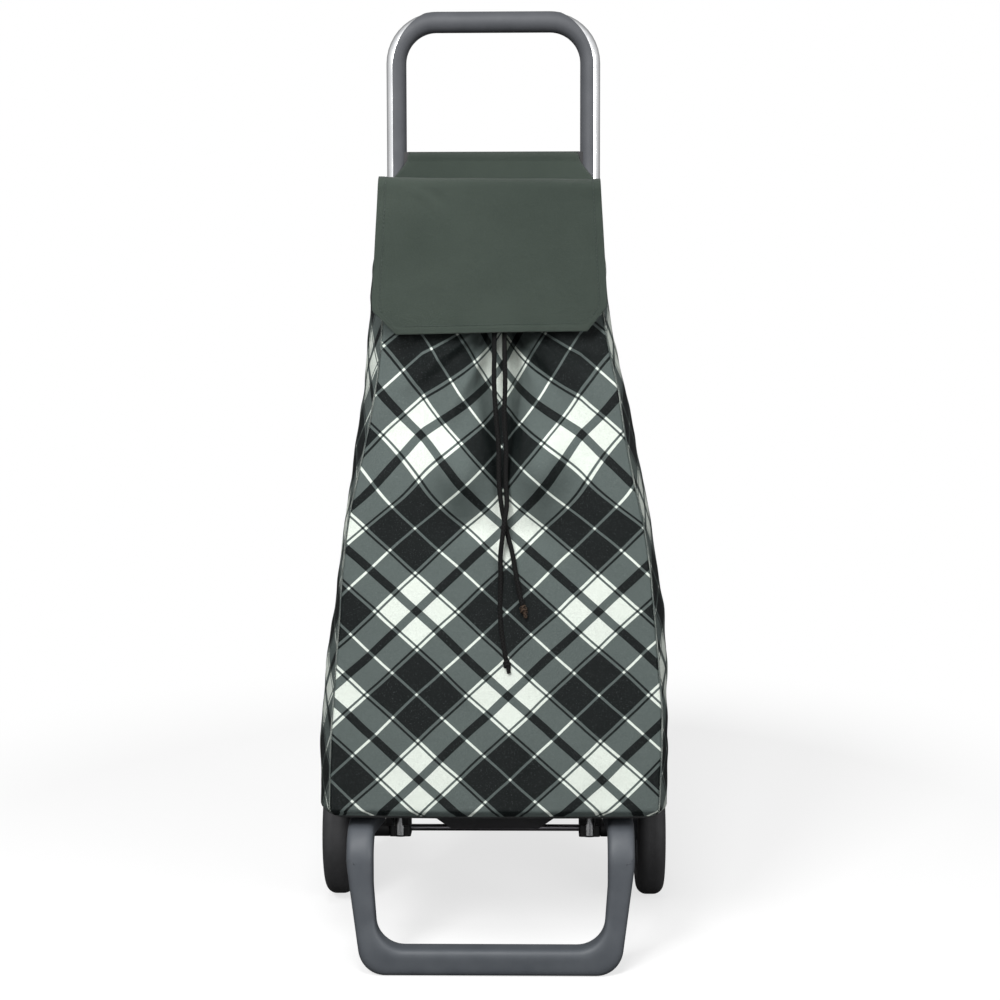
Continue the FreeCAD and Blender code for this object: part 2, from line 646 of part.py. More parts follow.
# ---- wheels -------------------------------------------------------------------------------
TYRE_OUTER_FACE = OVERALL_WIDTH / 2
RIM_RADIUS = 54.0
RIM_BAND = 7.0
RIM_INNER_FACE = TYRE_OUTER_FACE - TYRE_WIDTH + 3.5
RIM_OUTER_FACE = TYRE_OUTER_FACE - 4.0
HUB_END = TYRE_OUTER_FACE - 6.0
HUB_BORE_RADIUS = AXLE_RADIUS + 2.5
WEB_START = TYRE_OUTER_FACE - 20.0
SPOKES = 6


def wheel_profile(points, radii):
    """Revolve a section drawn as (x, radius) about the axle."""
    corners = [V(x, AXLE_Y, AXLE_Z + radius) for x, radius in points]
    face = Part.Face(rounded_wire(corners, radii))
    return face.revolve(V(0, AXLE_Y, AXLE_Z), V(1, 0, 0), 360)


def tyre():
    inner = TYRE_OUTER_FACE - TYRE_WIDTH
    return wheel_profile([(inner, RIM_RADIUS), (inner, WHEEL_RADIUS), (TYRE_OUTER_FACE, WHEEL_RADIUS),
                          (TYRE_OUTER_FACE, RIM_RADIUS)], [3, 12, 12, 3])


def wheel_rim():
    seat = RIM_RADIUS - 0.02
    bed = RIM_RADIUS - RIM_BAND
    ring = wheel_profile([(RIM_INNER_FACE, bed), (RIM_INNER_FACE, seat), (RIM_OUTER_FACE, seat),
                          (RIM_OUTER_FACE, bed)], [1, 0, 0, 2])
    hub = ring_x(HUB_START, HUB_END, AXLE_Y, AXLE_Z, 14, HUB_BORE_RADIUS)
    web = wheel_profile([(WEB_START, 13), (WEB_START, bed + 1), (WEB_START + 3, bed + 1),
                         (WEB_START + 3, 13)], [0, 0, 0, 0])
    rim = ring.fuse(hub).fuse(web)
    for i in range(SPOKES):
        start = WEB_START - 5
        spoke = slab([V(start, -7, 12), V(start, 7, 12), V(start, 4.5, bed + 2),
                      V(start, -4.5, bed + 2)], [0, 0, 0, 0], V(16, 0, 0))
        spoke.rotate(V(0, 0, 0), V(1, 0, 0), i * 360 / SPOKES)
        spoke.translate(V(0, AXLE_Y, AXLE_Z))
        rim = rim.fuse(spoke)
    rim = rim.cut(rod_x(HUB_START - 1, HUB_END + 0.5, AXLE_Y, AXLE_Z, HUB_BORE_RADIUS))
    return rim.removeSplitter()


def hub_bush():
    return ring_x(HUB_START + 0.4, HUB_END - 3, AXLE_Y, AXLE_Z, HUB_BORE_RADIUS - 0.02,
                  AXLE_RADIUS + RUNNING_FIT)


def hub_cap():
    seat = HUB_END + 0.2
    spigot = rod_x(seat - 1.6, seat, AXLE_Y, AXLE_Z, HUB_BORE_RADIUS - 0.1)
    dome = wheel_profile([(seat, 0), (seat, 16), (seat + 4.2, 12), (seat + 5, 0)], [0, 0, 3, 0])
    return dome.fuse(spigot).removeSplitter()


# ---- build --------------------------------------------------------------------------------
def main():
    os.makedirs("parts", exist_ok=True)
    export("frame_tube", lean(frame_tube()))
    export("handle_grip", lean(handle_grip()))
    export_pair("tube_plug", lean(tube_plug()))
    export_pair("tube_socket", lean(tube_socket()))
    export("socket_screws", lean(socket_screws()))
    export("axle_beam", lean(axle_beam()))
    export("axle_rod", axle_rod())
    export_pair("axle_spacer", axle_spacer())
    export("axle_washers", axle_washers())
    export_pair("hinge_pin", hinge_pin())
    export("hanger_bar", lean(hanger_bar()))

    export("bag_front_panel", lean(front_panel()))
    export_pair("bag_side_panel", lean(side_panel()))
    export("bag_bottom_panel", lean(bag_floor(0, FABRIC, 3.6, 6)))
    export("bag_base_stiffener", lean(bag_floor(FABRIC + 0.3, 2.0, 12, 16)))
    export("bag_back_panel", lean(back_panel()))
    export("mouth_casing", lean(mouth_casing()))
    export("bag_straps", lean(strap_loops()))
    export("strap_snaps", lean(strap_snaps()))
    export("cord_grommet", lean(cord_grommet()))
    export("drawstring_long", cord_tube("drawstring_long", RIGHT_START_ROUTE))
    export("drawstring_short", cord_tube("drawstring_short", LEFT_START_ROUTE))
    export("cord_knot_long", cord_knot(RIGHT_START_ROUTE))
    export("cord_knot_short", cord_knot(LEFT_START_ROUTE))

    export("lid_flap", lean(lid_flap()))
    export("lid_binding", lean(lid_binding()))
    export("foot_loop", foot_loop())
    export_pair("tyre", tyre())
    export_pair("wheel_rim", wheel_rim())
    export_pair("hub_bush", hub_bush())
    export_pair("hub_cap", hub_cap())


main()
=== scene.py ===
"""Looks of the two-wheeled shopping trolley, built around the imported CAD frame.

Lengths in this script are millimetres in "frame points" (x, forward, up), measured from a datum on
the uprights' centre lines: up runs along the leaning uprights and forward stands square to them.
world() turns them into metres.
"""
import json
import math

import bmesh
import bpy
import numpy as np
from mathutils import Matrix, Vector, noise

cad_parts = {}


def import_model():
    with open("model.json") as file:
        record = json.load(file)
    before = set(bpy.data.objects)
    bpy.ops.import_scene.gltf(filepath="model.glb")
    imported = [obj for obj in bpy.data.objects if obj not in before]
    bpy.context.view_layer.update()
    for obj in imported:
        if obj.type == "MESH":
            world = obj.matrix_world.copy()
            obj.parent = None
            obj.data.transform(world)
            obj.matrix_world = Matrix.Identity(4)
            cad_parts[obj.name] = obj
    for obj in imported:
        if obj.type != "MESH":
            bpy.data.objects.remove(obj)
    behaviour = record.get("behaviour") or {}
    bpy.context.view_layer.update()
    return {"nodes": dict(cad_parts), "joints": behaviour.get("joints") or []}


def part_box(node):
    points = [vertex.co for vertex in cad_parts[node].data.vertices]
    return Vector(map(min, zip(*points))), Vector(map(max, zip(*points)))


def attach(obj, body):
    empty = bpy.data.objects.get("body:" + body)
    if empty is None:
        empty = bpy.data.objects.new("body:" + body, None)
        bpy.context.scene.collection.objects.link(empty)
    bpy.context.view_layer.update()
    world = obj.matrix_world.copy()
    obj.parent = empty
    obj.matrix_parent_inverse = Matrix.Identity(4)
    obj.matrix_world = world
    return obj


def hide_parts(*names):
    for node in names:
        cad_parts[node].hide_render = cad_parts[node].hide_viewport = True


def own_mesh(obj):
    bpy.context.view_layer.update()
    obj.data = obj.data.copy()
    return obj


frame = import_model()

NODES = frame["nodes"]
JOINTS = {joint["name"]: joint for joint in frame["joints"]}
MM = 0.001

# ---- placement
LEAN = math.radians(6.13)
axle_low, axle_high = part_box("axle_rod")
DATUM_Z = 82.5 * MM             # the datum is on the uprights, just above the axle
DATUM_Y = (axle_low[1] + axle_high[1]) / 2 + (DATUM_Z - (axle_low[2] + axle_high[2]) / 2) * math.tan(LEAN)


def world(x, forward, up):
    """World point, in metres, of a frame point in millimetres."""
    return Vector((x * MM,
                   DATUM_Y + (-forward * math.cos(LEAN) + up * math.sin(LEAN)) * MM,
                   DATUM_Z + (forward * math.sin(LEAN) + up * math.cos(LEAN)) * MM))


def flatten(piece):
    """Gives the piece its own copy of its mesh."""
    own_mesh(piece)


# ---- camera
def make_camera():
    data = bpy.data.cameras.new("camera")
    data.sensor_width = 36.0
    data.lens = 70.54
    data.clip_end = 60
    camera = bpy.data.objects.new("camera", data)
    bpy.context.scene.collection.objects.link(camera)
    camera.location = (0.0493, -2.1447, 0.9005)
    yaw, pitch, roll = math.radians(1.081), math.radians(10.921), math.radians(-0.235)
    camera.rotation_euler = (Matrix.Rotation(yaw, 4, "Z") @ Matrix.Rotation(math.pi / 2 - pitch, 4, "X")
                             @ Matrix.Rotation(roll, 4, "Z")).to_euler()
    bpy.context.scene.camera = camera


# ---- node helpers
class Nodes:
    """Short ways to add and wire the nodes of a tree."""

    def __init__(self, tree):
        self.tree = tree

    def node(self, kind, **inputs):
        made = self.tree.nodes.new(kind)
        for key, value in inputs.items():
            made.inputs[key.replace("_", " ")].default_value = value
        return made

    def link(self, output, target):
        self.tree.links.new(output, target)

    def feed(self, socket, value):
        """Links an output to the socket, or sets the socket to a number or a colour."""
        if hasattr(value, "is_linked"):
            self.link(value, socket)
        elif isinstance(value, tuple):
            socket.default_value = (*value, 1)
        else:
            socket.default_value = value

    def math(self, operation, *values):
        made = self.node("ShaderNodeMath")
        made.operation = operation
        for socket, value in zip(made.inputs, values):
            self.feed(socket, value)
        return made.outputs[0]

    def coords(self, kind="Object"):
        return self.node("ShaderNodeTexCoord").outputs[kind]

    def split(self, vector):
        made = self.node("ShaderNodeSeparateXYZ")
        self.link(vector, made.inputs[0])
        return made.outputs

    def map_range(self, value, to_min, to_max, from_min=0.0, from_max=1.0, smooth=False):
        made = self.node("ShaderNodeMapRange", From_Min=from_min, From_Max=from_max)
        if smooth:
            made.interpolation_type = "SMOOTHSTEP"
        for name, level in (("Value", value), ("To Min", to_min), ("To Max", to_max)):
            self.feed(made.inputs[name], level)
        return made.outputs[0]

    def noise(self, scale, detail=4.0, stretch=None):
        made = self.node("ShaderNodeTexNoise", Scale=scale, Detail=detail)
        source = self.coords()
        if stretch:
            mapping = self.node("ShaderNodeMapping", Scale=stretch)
            self.link(source, mapping.inputs["Vector"])
            source = mapping.outputs[0]
        self.link(source, made.inputs["Vector"])
        return made.outputs["Fac"]

    def ramp(self, factor, stops, interpolation="LINEAR"):
        made = self.node("ShaderNodeValToRGB")
        made.color_ramp.interpolation = interpolation
        elements = made.color_ramp.elements
        while len(elements) < len(stops):
            elements.new(0.5)
        for element, (place, colour) in zip(elements, stops):
            element.position = place
            element.color = (*colour, 1)
        self.link(factor, made.inputs["Fac"])
        return made.outputs["Color"]

    def mix(self, factor, a, b, blend="MIX"):
        made = self.node("ShaderNodeMix")
        made.data_type = "RGBA"
        made.blend_type = blend
        for index, value in ((0, factor), (6, a), (7, b)):
            self.feed(made.inputs[index], value)
        return made.outputs[2]


class Shader(Nodes):
    """A material with a Principled shader."""

    def __init__(self, name, colour, roughness, metallic=0.0, specular=0.5):
        self.material = bpy.data.materials.new(name)
        self.material.use_nodes = True
        super().__init__(self.material.node_tree)
        self.bsdf = self.tree.nodes["Principled BSDF"]
        self.bsdf.inputs["Base Color"].default_value = (*colour, 1)
        self.bsdf.inputs["Roughness"].default_value = roughness
        self.bsdf.inputs["Metallic"].default_value = metallic
        self.bsdf.inputs["Specular IOR Level"].default_value = specular

    def vary(self, factor, low, high):
        """Base colour follows a noise between two tints."""
        self.link(self.ramp(factor, [(0.3, low), (0.7, high)]), self.bsdf.inputs["Base Color"])

    def roughen(self, factor, low, high):
        self.link(self.map_range(factor, low, high), self.bsdf.inputs["Roughness"])

    def bump(self, height, distance, strength=1.0):
        made = self.node("ShaderNodeBump", Strength=strength, Distance=distance)
        self.link(height, made.inputs["Height"])
        previous = self.bsdf.inputs["Normal"].links
        if previous:
            self.link(previous[0].from_socket, made.inputs["Normal"])
        self.link(made.outputs[0], self.bsdf.inputs["Normal"])


def moulded(name, low, high, roughness, grain=1400.0, depth=0.00006, specular=0.3):
    """Moulded plastic: faint mottling, fine spark-eroded grain, uneven gloss."""
    shader = Shader(name, low, roughness, specular=specular)
    shader.vary(shader.noise(35.0, 3.0), low, high)
    shader.roughen(shader.noise(60.0, 5.0), roughness - 0.07, roughness + 0.08)
    shader.bump(shader.noise(grain, 2.0), depth)
    return shader.material


def weave_height(shader, threads_per_metre):
    """Plain weave: two crossed sets of ribs."""
    place = shader.split(shader.coords("UV"))
    waves = []
    for axis in (0, 1):
        phase = shader.math("MULTIPLY", place[axis], threads_per_metre * 2 * math.pi)
        waves.append(shader.math("SINE", phase))
    return shader.math("MULTIPLY", waves[0], waves[1])


def plain_cloth(name, low, high, roughness=0.62):
    """Plain woven cloth: faint blotches, a little sheen, fine uneven weave."""
    shader = Shader(name, low, roughness, specular=0.25)
    shader.vary(shader.noise(9.0, 5.0), low, high)
    shader.bsdf.inputs["Sheen Weight"].default_value = 0.06
    shader.bsdf.inputs["Sheen Roughness"].default_value = 0.45
    shader.roughen(shader.noise(420.0, 2.0), roughness - 0.08, roughness + 0.10)
    shader.bump(weave_height(shader, 1500.0), 0.00012)
    shader.bump(shader.noise(130.0, 3.0), 0.00035)
    return shader.material


# sett of the plaid, from the middle of a pale stripe (0) to the middle of a dark one (1)
SETT = ((0.0, 0), (0.064, 1), (0.405, 0), (0.438, 1), (0.482, 0), (0.980, 1))


def plaid_stripe(shader, coordinate):
    """1 where a thread set is pale, 0 where it is dark."""
    shifted = shader.math("ADD", coordinate, 0.5)
    fraction = shader.math("FRACT", shifted)
    centred = shader.math("ABSOLUTE", shader.math("SUBTRACT", fraction, 0.5))
    along = shader.math("MULTIPLY", centred, 2.0)
    stops = [(place, (level, level, level)) for place, level in SETT]
    return shader.ramp(along, stops, "CONSTANT")


def plaid_cloth():
    """Coated cloth printed with a bias plaid. UV is in metres of cloth."""
    shader = Shader("plaid_cloth", (0.1, 0.1, 0.1), 0.5, specular=0.10)
    place = shader.split(shader.coords("UV"))
    drift = [shader.math("MULTIPLY", shader.math("SUBTRACT", shader.noise(scale, 2.0), 0.5), 0.005)
             for scale in (9.0, 11.0)]
    u = shader.math("DIVIDE", shader.math("ADD", place[0], drift[0]), PLAID_WIDTH * MM)
    v = shader.math("DIVIDE", shader.math("ADD", place[1], drift[1]), PLAID_HEIGHT * MM)
    warp = plaid_stripe(shader, shader.math("ADD", u, v))
    weft = plaid_stripe(shader, shader.math("SUBTRACT", u, v))
    total = shader.math("MULTIPLY", shader.math("ADD", warp, weft), 0.5)
    printed = shader.ramp(total, [(0.0, PRINT_DARK), (0.25, PRINT_GREY), (0.75, PRINT_PALE)], "CONSTANT")
    speck = shader.noise(1500.0, 2.0)
    fleck = shader.ramp(speck, [(0.36, (0.72, 0.72, 0.72)), (0.62, (1.0, 1.0, 1.0))])
    flecked = shader.mix(1.0, printed, fleck, "MULTIPLY")
    lint = shader.ramp(shader.noise(900.0, 2.0), [(0.60, (0.0, 0.0, 0.0)), (0.80, (0.045, 0.05, 0.05))])
    shader.link(shader.mix(1.0, flecked, lint, "ADD"), shader.bsdf.inputs["Base Color"])
    shader.roughen(shader.noise(26.0, 4.0), 0.36, 0.48)
    shader.bump(weave_height(shader, 1300.0), 0.00010)
    shader.bump(shader.noise(75.0, 4.0), 0.0006)
    return shader.material


def brushed_tube():
    shader = Shader("bright_aluminium", (0.80, 0.81, 0.83), 0.24, 1.0)
    streaks = shader.noise(260.0, 4.0, stretch=(1.0, 1.0, 0.04))
    shader.vary(streaks, (0.70, 0.71, 0.73), (0.86, 0.87, 0.88))
    shader.roughen(streaks, 0.16, 0.32)
    shader.bump(streaks, 0.00003)
    return shader.material


def steel(name, low, high, roughness):
    shader = Shader(name, low, roughness, 1.0)
    shader.vary(shader.noise(120.0, 5.0, stretch=(0.08, 1.0, 1.0)), low, high)
    shader.roughen(shader.noise(300.0, 3.0), roughness - 0.08, roughness + 0.12)
    shader.bump(shader.noise(600.0, 3.0, stretch=(0.1, 1.0, 1.0)), 0.00003)
    return shader.material


def foam():
    """Closed-cell foam tyre: matt, faintly pitted, scuffed on the tread."""
    shader = Shader("tyre_foam", (0.03, 0.03, 0.033), 0.78)
    shader.vary(shader.noise(22.0, 6.0), (0.010, 0.010, 0.011), (0.024, 0.024, 0.026))
    shader.roughen(shader.noise(90.0, 4.0), 0.66, 0.86)
    cells = shader.node("ShaderNodeTexVoronoi", Scale=900.0)
    shader.link(shader.coords(), cells.inputs["Vector"])
    shader.bump(cells.outputs["Distance"], 0.00012)
    shader.bump(shader.noise(180.0, 4.0), 0.00025)
    return shader.material


def braid(name, low, high):
    shader = Shader(name, low, 0.85, specular=0.12)
    place = shader.split(shader.coords("UV"))
    around = shader.math("MULTIPLY", place[0], 2 * math.pi * 4)
    along = shader.math("MULTIPLY", place[1], 2 * math.pi * 260)
    one = shader.math("SINE", shader.math("ADD", around, along))
    two = shader.math("SINE", shader.math("SUBTRACT", around, along))
    height = shader.math("MAXIMUM", one, two)
    # colour follows the strand height: the grooves between the strands take the dark tint, a painted shade
    # in the grooves
    shader.link(shader.ramp(height, [(0.0, low), (1.0, high)]), shader.bsdf.inputs["Base Color"])
    shader.bump(height, 0.00025)
    return shader.material


# ---- mesh helpers
def mesh_piece(name, points, faces, material, uvs=None):
    """Smooth-shaded object; uvs holds one (u, v) for each face corner, in face order."""
    data = bpy.data.meshes.new(name)
    data.from_pydata([tuple(p) for p in points], [], faces)
    if uvs is not None:
        layer = data.uv_layers.new(name="cloth")
        layer.data.foreach_set("uv", np.asarray(uvs, np.float32).ravel())
    data.materials.append(material)
    data.polygons.foreach_set("use_smooth", [True] * len(data.polygons))
    data.update()
    piece = bpy.data.objects.new(name, data)
    bpy.context.scene.collection.objects.link(piece)
    return piece


def grid_piece(name, rows, cols, place, uv, material, wrap=False):
    """Sheet of rows by cols points. place(i, j) gives a point and uv(i, j) its cloth coordinates."""
    points = [place(i, j) for i in range(rows) for j in range(cols)]
    faces, uvs = [], []
    for i in range(rows - 1):
        for j in range(cols if wrap else cols - 1):
            k = (j + 1) % cols
            faces.append((i * cols + j, i * cols + k, (i + 1) * cols + k, (i + 1) * cols + j))
            uvs.extend([uv(i, j), uv(i, j + 1), uv(i + 1, j + 1), uv(i + 1, j)])
    return mesh_piece(name, points, faces, material, uvs)


def thicken(piece, thickness, offset=-1.0):
    made = piece.modifiers.new("thickness", "SOLIDIFY")
    made.thickness = thickness * MM
    made.offset = offset
    made.use_even_offset = False
    bake_modifiers(piece)


def bake_modifiers(piece):
    """Applies the modifiers, so that the mesh is final."""
    graph = bpy.context.evaluated_depsgraph_get()
    final = bpy.data.meshes.new_from_object(piece.evaluated_get(graph))
    piece.modifiers.clear()
    piece.data = final


def soften(node, width):
    """Small rounded edges on a CAD node, as a modifier."""
    made = NODES[node].modifiers.new("edges", "BEVEL")
    made.width = width * MM
    made.segments = 2
    made.limit_method = "ANGLE"
    made.angle_limit = math.radians(35)
    made.harden_normals = False


def tube_mesh(name, path, radius, material, sides=14, twist=0.0, ribs=0.0, rib_count=4):
    """Tube along points, with optional raised spiral strands."""
    points, faces, uvs = [], [], []
    length = 0.0
    up_hint = Vector((1, 0, 0))
    stations = []
    for i, here in enumerate(path):
        ahead = path[min(i + 1, len(path) - 1)] - path[max(i - 1, 0)]
        tangent = ahead.normalized()
        side = (up_hint - tangent * up_hint.dot(tangent)).normalized()
        up_hint = side
        if i:
            length += (here - path[i - 1]).length
        stations.append((here, side, tangent.cross(side), length))
    for here, side, other, run in stations:
        for k in range(sides):
            angle = 2 * math.pi * k / sides
            swell = 1 + ribs * abs(math.sin(rib_count * 0.5 * angle + twist * run))
            points.append(here + (side * math.cos(angle) + other * math.sin(angle)) * radius * swell)
    for i in range(len(stations) - 1):
        for k in range(sides):
            nxt = (k + 1) % sides
            faces.append((i * sides + k, i * sides + nxt, (i + 1) * sides + nxt, (i + 1) * sides + k))
            low, high = stations[i][3], stations[i + 1][3]
            uvs.extend([(k / sides, low), ((k + 1) / sides, low),
                        ((k + 1) / sides, high), (k / sides, high)])
    for ring, flip in ((0, True), (len(stations) - 1, False)):
        cap = [ring * sides + k for k in range(sides)]
        faces.append(tuple(reversed(cap)) if flip else tuple(cap))
        uvs.extend([(0.0, stations[ring][3])] * sides)
    return mesh_piece(name, points, faces, material, uvs)


def stitches(name, line, material, pitch=4.2, length=2.9, radius=0.42):
    """A row of sewn stitches along a line of points, as one mesh of short tapered threads."""
    runs = [0.0]
    for a, b in zip(line, line[1:]):
        runs.append(runs[-1] + (b - a).length)
    points, faces = [], []

    def at(run):
        k = min(max(1, int(np.searchsorted(runs, run))), len(line) - 1)
        share = (run - runs[k - 1]) / max(runs[k] - runs[k - 1], 1e-9)
        return line[k - 1].lerp(line[k], share)

    run = pitch * MM
    while run < runs[-1] - pitch * MM:
        start, end = at(run), at(run + length * MM)
        along = (end - start).normalized()
        side = along.orthogonal().normalized()
        other = along.cross(side)
        base = len(points)
        for share, swell in ((0.0, 0.35), (0.2, 1.0), (0.8, 1.0), (1.0, 0.35)):
            for k in range(6):
                angle = math.pi * k / 3
                points.append(start.lerp(end, share)
                              + (side * math.cos(angle) + other * math.sin(angle)) * radius * swell * MM)
        for ring in range(3):
            for k in range(6):
                n = (k + 1) % 6
                faces.append((base + ring * 6 + k, base + ring * 6 + n,
                              base + ring * 6 + 6 + n, base + ring * 6 + 6 + k))
        faces.append(tuple(base + 5 - k for k in range(6)))
        faces.append(tuple(base + 18 + k for k in range(6)))
        run += pitch * MM
    return mesh_piece(name, points, faces, material)


# ---- bag shape
PLAID_WIDTH = 195.0
PLAID_HEIGHT = 178.5
PLAID_BASE = 190.0
PRINT_DARK = (0.004, 0.006, 0.006)
PRINT_GREY = (0.088, 0.108, 0.103)
PRINT_PALE = (0.67, 0.72, 0.66)

# up the frame, front half width, widest half width, rear half width
BAG_LEVELS = np.array((
    (40, 162, 187, 141),
    (62, 163, 189, 143),
    (150, 166, 191, 163),
    (240, 163, 186, 160),
    (335, 158, 173, 152),
    (400, 149, 165, 144),
    (475, 129, 153, 134),
    (545, 115, 140, 126),
    (600, 110, 130, 120),
    (735, 104, 121, 117),
), float)
SHOULDER_UP = 640.0
MOUTH_UP = 716.0
MOUTH_FORWARD = 96.0
MOUTH_X = 6.0
MOUTH_RADIUS = 20.0
REAR_FACE = 17.4
FRONT_COLS, SIDE_COLS, REAR_COLS = 120, 44, 40
BODY_ROWS, SHOULDER_ROWS, FLOOR_ROWS = 220, 46, 14
GATHER = (11.0, 606.0)          # x and up where the drawstring pulls the front together


def smooth_level(up, column):
    offsets = (-24, -12, 0, 12, 24)
    return sum(np.interp(up + o, BAG_LEVELS[:, 0], BAG_LEVELS[:, column]) for o in offsets) / len(offsets)


def bell(value, centre, width):
    return math.exp(-((value - centre) / width) ** 2)


def step(value, low, high):
    share = min(1.0, max(0.0, (value - low) / (high - low)))
    return share * share * (3 - 2 * share)


def front_relief(x, up):
    """How far the front cloth stands out of the flat front, in millimetres."""
    gx, gy = GATHER
    across, below = x - gx, gy - up
    distance = math.hypot(across, below)
    angle = math.atan2(across, max(below, 1e-3))
    wobble = 0.5 * noise.noise(Vector((across * 0.02, below * 0.02, 3.1)))
    fill = 5.0 * bell(up, 210, 150) * (1 - (x / 175) ** 2)
    # the gathered mouth draws a valley into the cloth; the slack stands beside it as two puffs
    spread = 14.0 + 21.0 * step(up, 430, 610)
    valley = -39.0 * step(up, 392, 520) * bell(across - 1.5, 0, spread)
    valley -= 5.0 * step(up, 352, 400) * (1 - step(up, 410, 470)) * bell(across, 0, 9)
    puffs = 24.0 * (bell(across, -43, 26) * bell(up, 430, 33) + bell(across, 43, 28) * bell(up, 434, 35))
    under = -6.0 * (bell(across, -36, 24) * bell(up, 372, 17) + bell(across, 40, 24) * bell(up, 366, 19))
    # folds that fan out from the gather
    fade = math.exp(-distance / 120.0) * step(distance, 8, 40)
    fan = math.cos(15.0 * (angle + 0.25 * wobble) + 0.9)
    folds = 5.4 * fade * (fan + 0.35 * math.cos(29.0 * angle + 3.0 * wobble))
    # slack drags between the corners and the gather, and small unevenness
    drag = 2.2 * step(up, 400, 560) * math.sin(0.050 * x + 0.030 * up + 1.5 * wobble)
    uneven = 1.9 * noise.noise(Vector((x * 0.013, up * 0.011, 0.7)))
    uneven += 0.9 * noise.noise(Vector((x * 0.031, up * 0.025, 5.2)))
    creases = 0.9 * step(up, 60, 130) * (1 - step(up, 130, 240)) * math.sin(0.075 * x + 2.2 * wobble)
    return fill + valley + puffs + under + folds + drag + uneven + creases


def front_flat(up):
    return 245.6 - 0.1154 * up


# the sewn bag is not quite even: how far each front seam and each side stands out from the levels
OUT_UPS = (60, 180, 280, 420, 520, 620)
SEAM_OUT_LEFT = (9, 3, 0, 0, 3, 6)
SEAM_OUT_RIGHT = (16, 18, 14, 10, 17, 9)
SIDE_OUT_LEFT = (-2, -2, -6, -6, -1, 9)
SIDE_OUT_RIGHT = (2, 2, 8, 4, 4, 2)


def seam_x(up, side):
    """Place of a front corner seam; side is -1 or 1."""
    extra = SEAM_OUT_RIGHT if side > 0 else SEAM_OUT_LEFT
    return side * (smooth_level(up, 1) + np.interp(up, OUT_UPS, extra))


def front_x(up, share):
    """Place across the front panel; share runs from -1 to 1."""
    left, right = seam_x(up, -1), seam_x(up, 1)
    return (left + right) / 2 + share * (right - left) / 2


def ring_point(up, column):
    """Point of the bag's outline at a height. Columns run along the front, right side, rear, left side."""
    widest, rear_half = smooth_level(up, 2), smooth_level(up, 3)
    front = front_flat(up)
    if column < FRONT_COLS:                              # front panel, from -X to +X
        share = 2 * column / FRONT_COLS - 1
        x = front_x(up, share)
        edge = 1 - abs(share) ** 10
        return x, front - 6.0 * share ** 2 + front_relief(x, up) * edge
    column -= FRONT_COLS
    if column < SIDE_COLS:                               # right side, corner to rear
        wide = widest + np.interp(up, OUT_UPS, SIDE_OUT_RIGHT)
        return side_point(column / SIDE_COLS, up, front, seam_x(up, 1), wide, rear_half, 9.0)
    column -= SIDE_COLS
    if column < REAR_COLS:                               # rear, from +X to -X
        share = 1 - 2 * column / REAR_COLS
        return share * rear_half, REAR_FACE
    column -= REAR_COLS
    wide = widest + np.interp(up, OUT_UPS, SIDE_OUT_LEFT)
    x, forward = side_point(1 - column / SIDE_COLS, up, front, -seam_x(up, -1), wide, rear_half, 4.0)
    return -x, forward


def side_point(share, up, front, front_half, widest, rear_half, seed):
    """Side gusset: bows out from the front seam and runs back to the rear corner."""
    nose = front - 6.0
    belly = REAR_FACE + 0.54 * (nose - REAR_FACE)
    control = (2 * widest - 0.5 * (front_half + rear_half))
    x = (1 - share) ** 2 * front_half + 2 * share * (1 - share) * control + share ** 2 * rear_half
    forward = (1 - share) ** 2 * nose + 2 * share * (1 - share) * belly + share ** 2 * REAR_FACE
    tuck = math.sin(math.pi * share)
    x += tuck * (1.8 * noise.noise(Vector((forward * 0.015, up * 0.012, seed)))
                 + 2.2 * noise.noise(Vector((forward * 0.022, up * 0.034, seed + 3.0)))
                 + 1.3 * step(up, 420, 640) * math.sin(0.06 * forward + 0.02 * up)
                 - 3.0 * step(up, 470, 640) * bell(share, 0.35, 0.2))
    return x, forward


RING_COLS = FRONT_COLS + 2 * SIDE_COLS + REAR_COLS


def floor_up(forward):
    return 42.0 + 0.098 * (forward - 14.5)


def bag_point(row, column):
    """Rows run from the floor's middle, out and up the walls, then over the shoulder to the mouth."""
    if row < FLOOR_ROWS:
        share = (row + 0.5) / (FLOOR_ROWS + 0.5)
        x, forward = ring_point(50.0, column)
        middle = 110.0
        x, forward = x * share, middle + (forward - middle) * share
        return world(x, forward, floor_up(forward) - 0.4 + 2.0 * step(share, 0.93, 1.0))
    row -= FLOOR_ROWS
    if row < BODY_ROWS:
        share = row / (BODY_ROWS - 1)
        base = floor_up(ring_point(50.0, column)[1])
        up = base + 1.5 + (SHOULDER_UP - base) * share
        x, forward = ring_point(up, column)
        rounding = 5.0 * (1 - step(share, 0.0, 0.012))
        x, forward = x * (1 - rounding / 180), forward - rounding * (forward - 110) / 110
        return world(x, forward, up)
    share = (row - BODY_ROWS + 1) / SHOULDER_ROWS
    x, forward = ring_point(SHOULDER_UP, column)
    angle = 2 * math.pi * column / RING_COLS
    turn = share * math.pi / 2
    spread = math.cos(turn) ** 0.9
    ruffle = math.sin(math.pi * min(1.0, share * 1.05)) * 3.4 + 1.6 * share
    ripple = math.cos(21 * angle + 1.8 * noise.noise(Vector((math.cos(angle), math.sin(angle), 2.0))))
    out_x, out_y = x - MOUTH_X, forward - MOUTH_FORWARD
    reach = math.hypot(out_x, out_y)
    puff = 1 + ruffle * ripple / max(reach * spread, 26.0)
    px = MOUTH_X + out_x * spread * puff + (out_x / reach) * MOUTH_RADIUS * (1 - spread)
    py = MOUTH_FORWARD + out_y * spread * puff + (out_y / reach) * MOUTH_RADIUS * (1 - spread)
    up = SHOULDER_UP + 1.5 + (MOUTH_UP - SHOULDER_UP) * math.sin(turn) + 0.5 * ruffle * ripple
    return world(px, py, up)


def plaid_middle(up):
    """The lattice's centre column stands right of the bag's middle, more so lower down."""
    return np.interp(up, (100, 190, 280, 470), (21.5, 18.6, 18.6, 12.0))


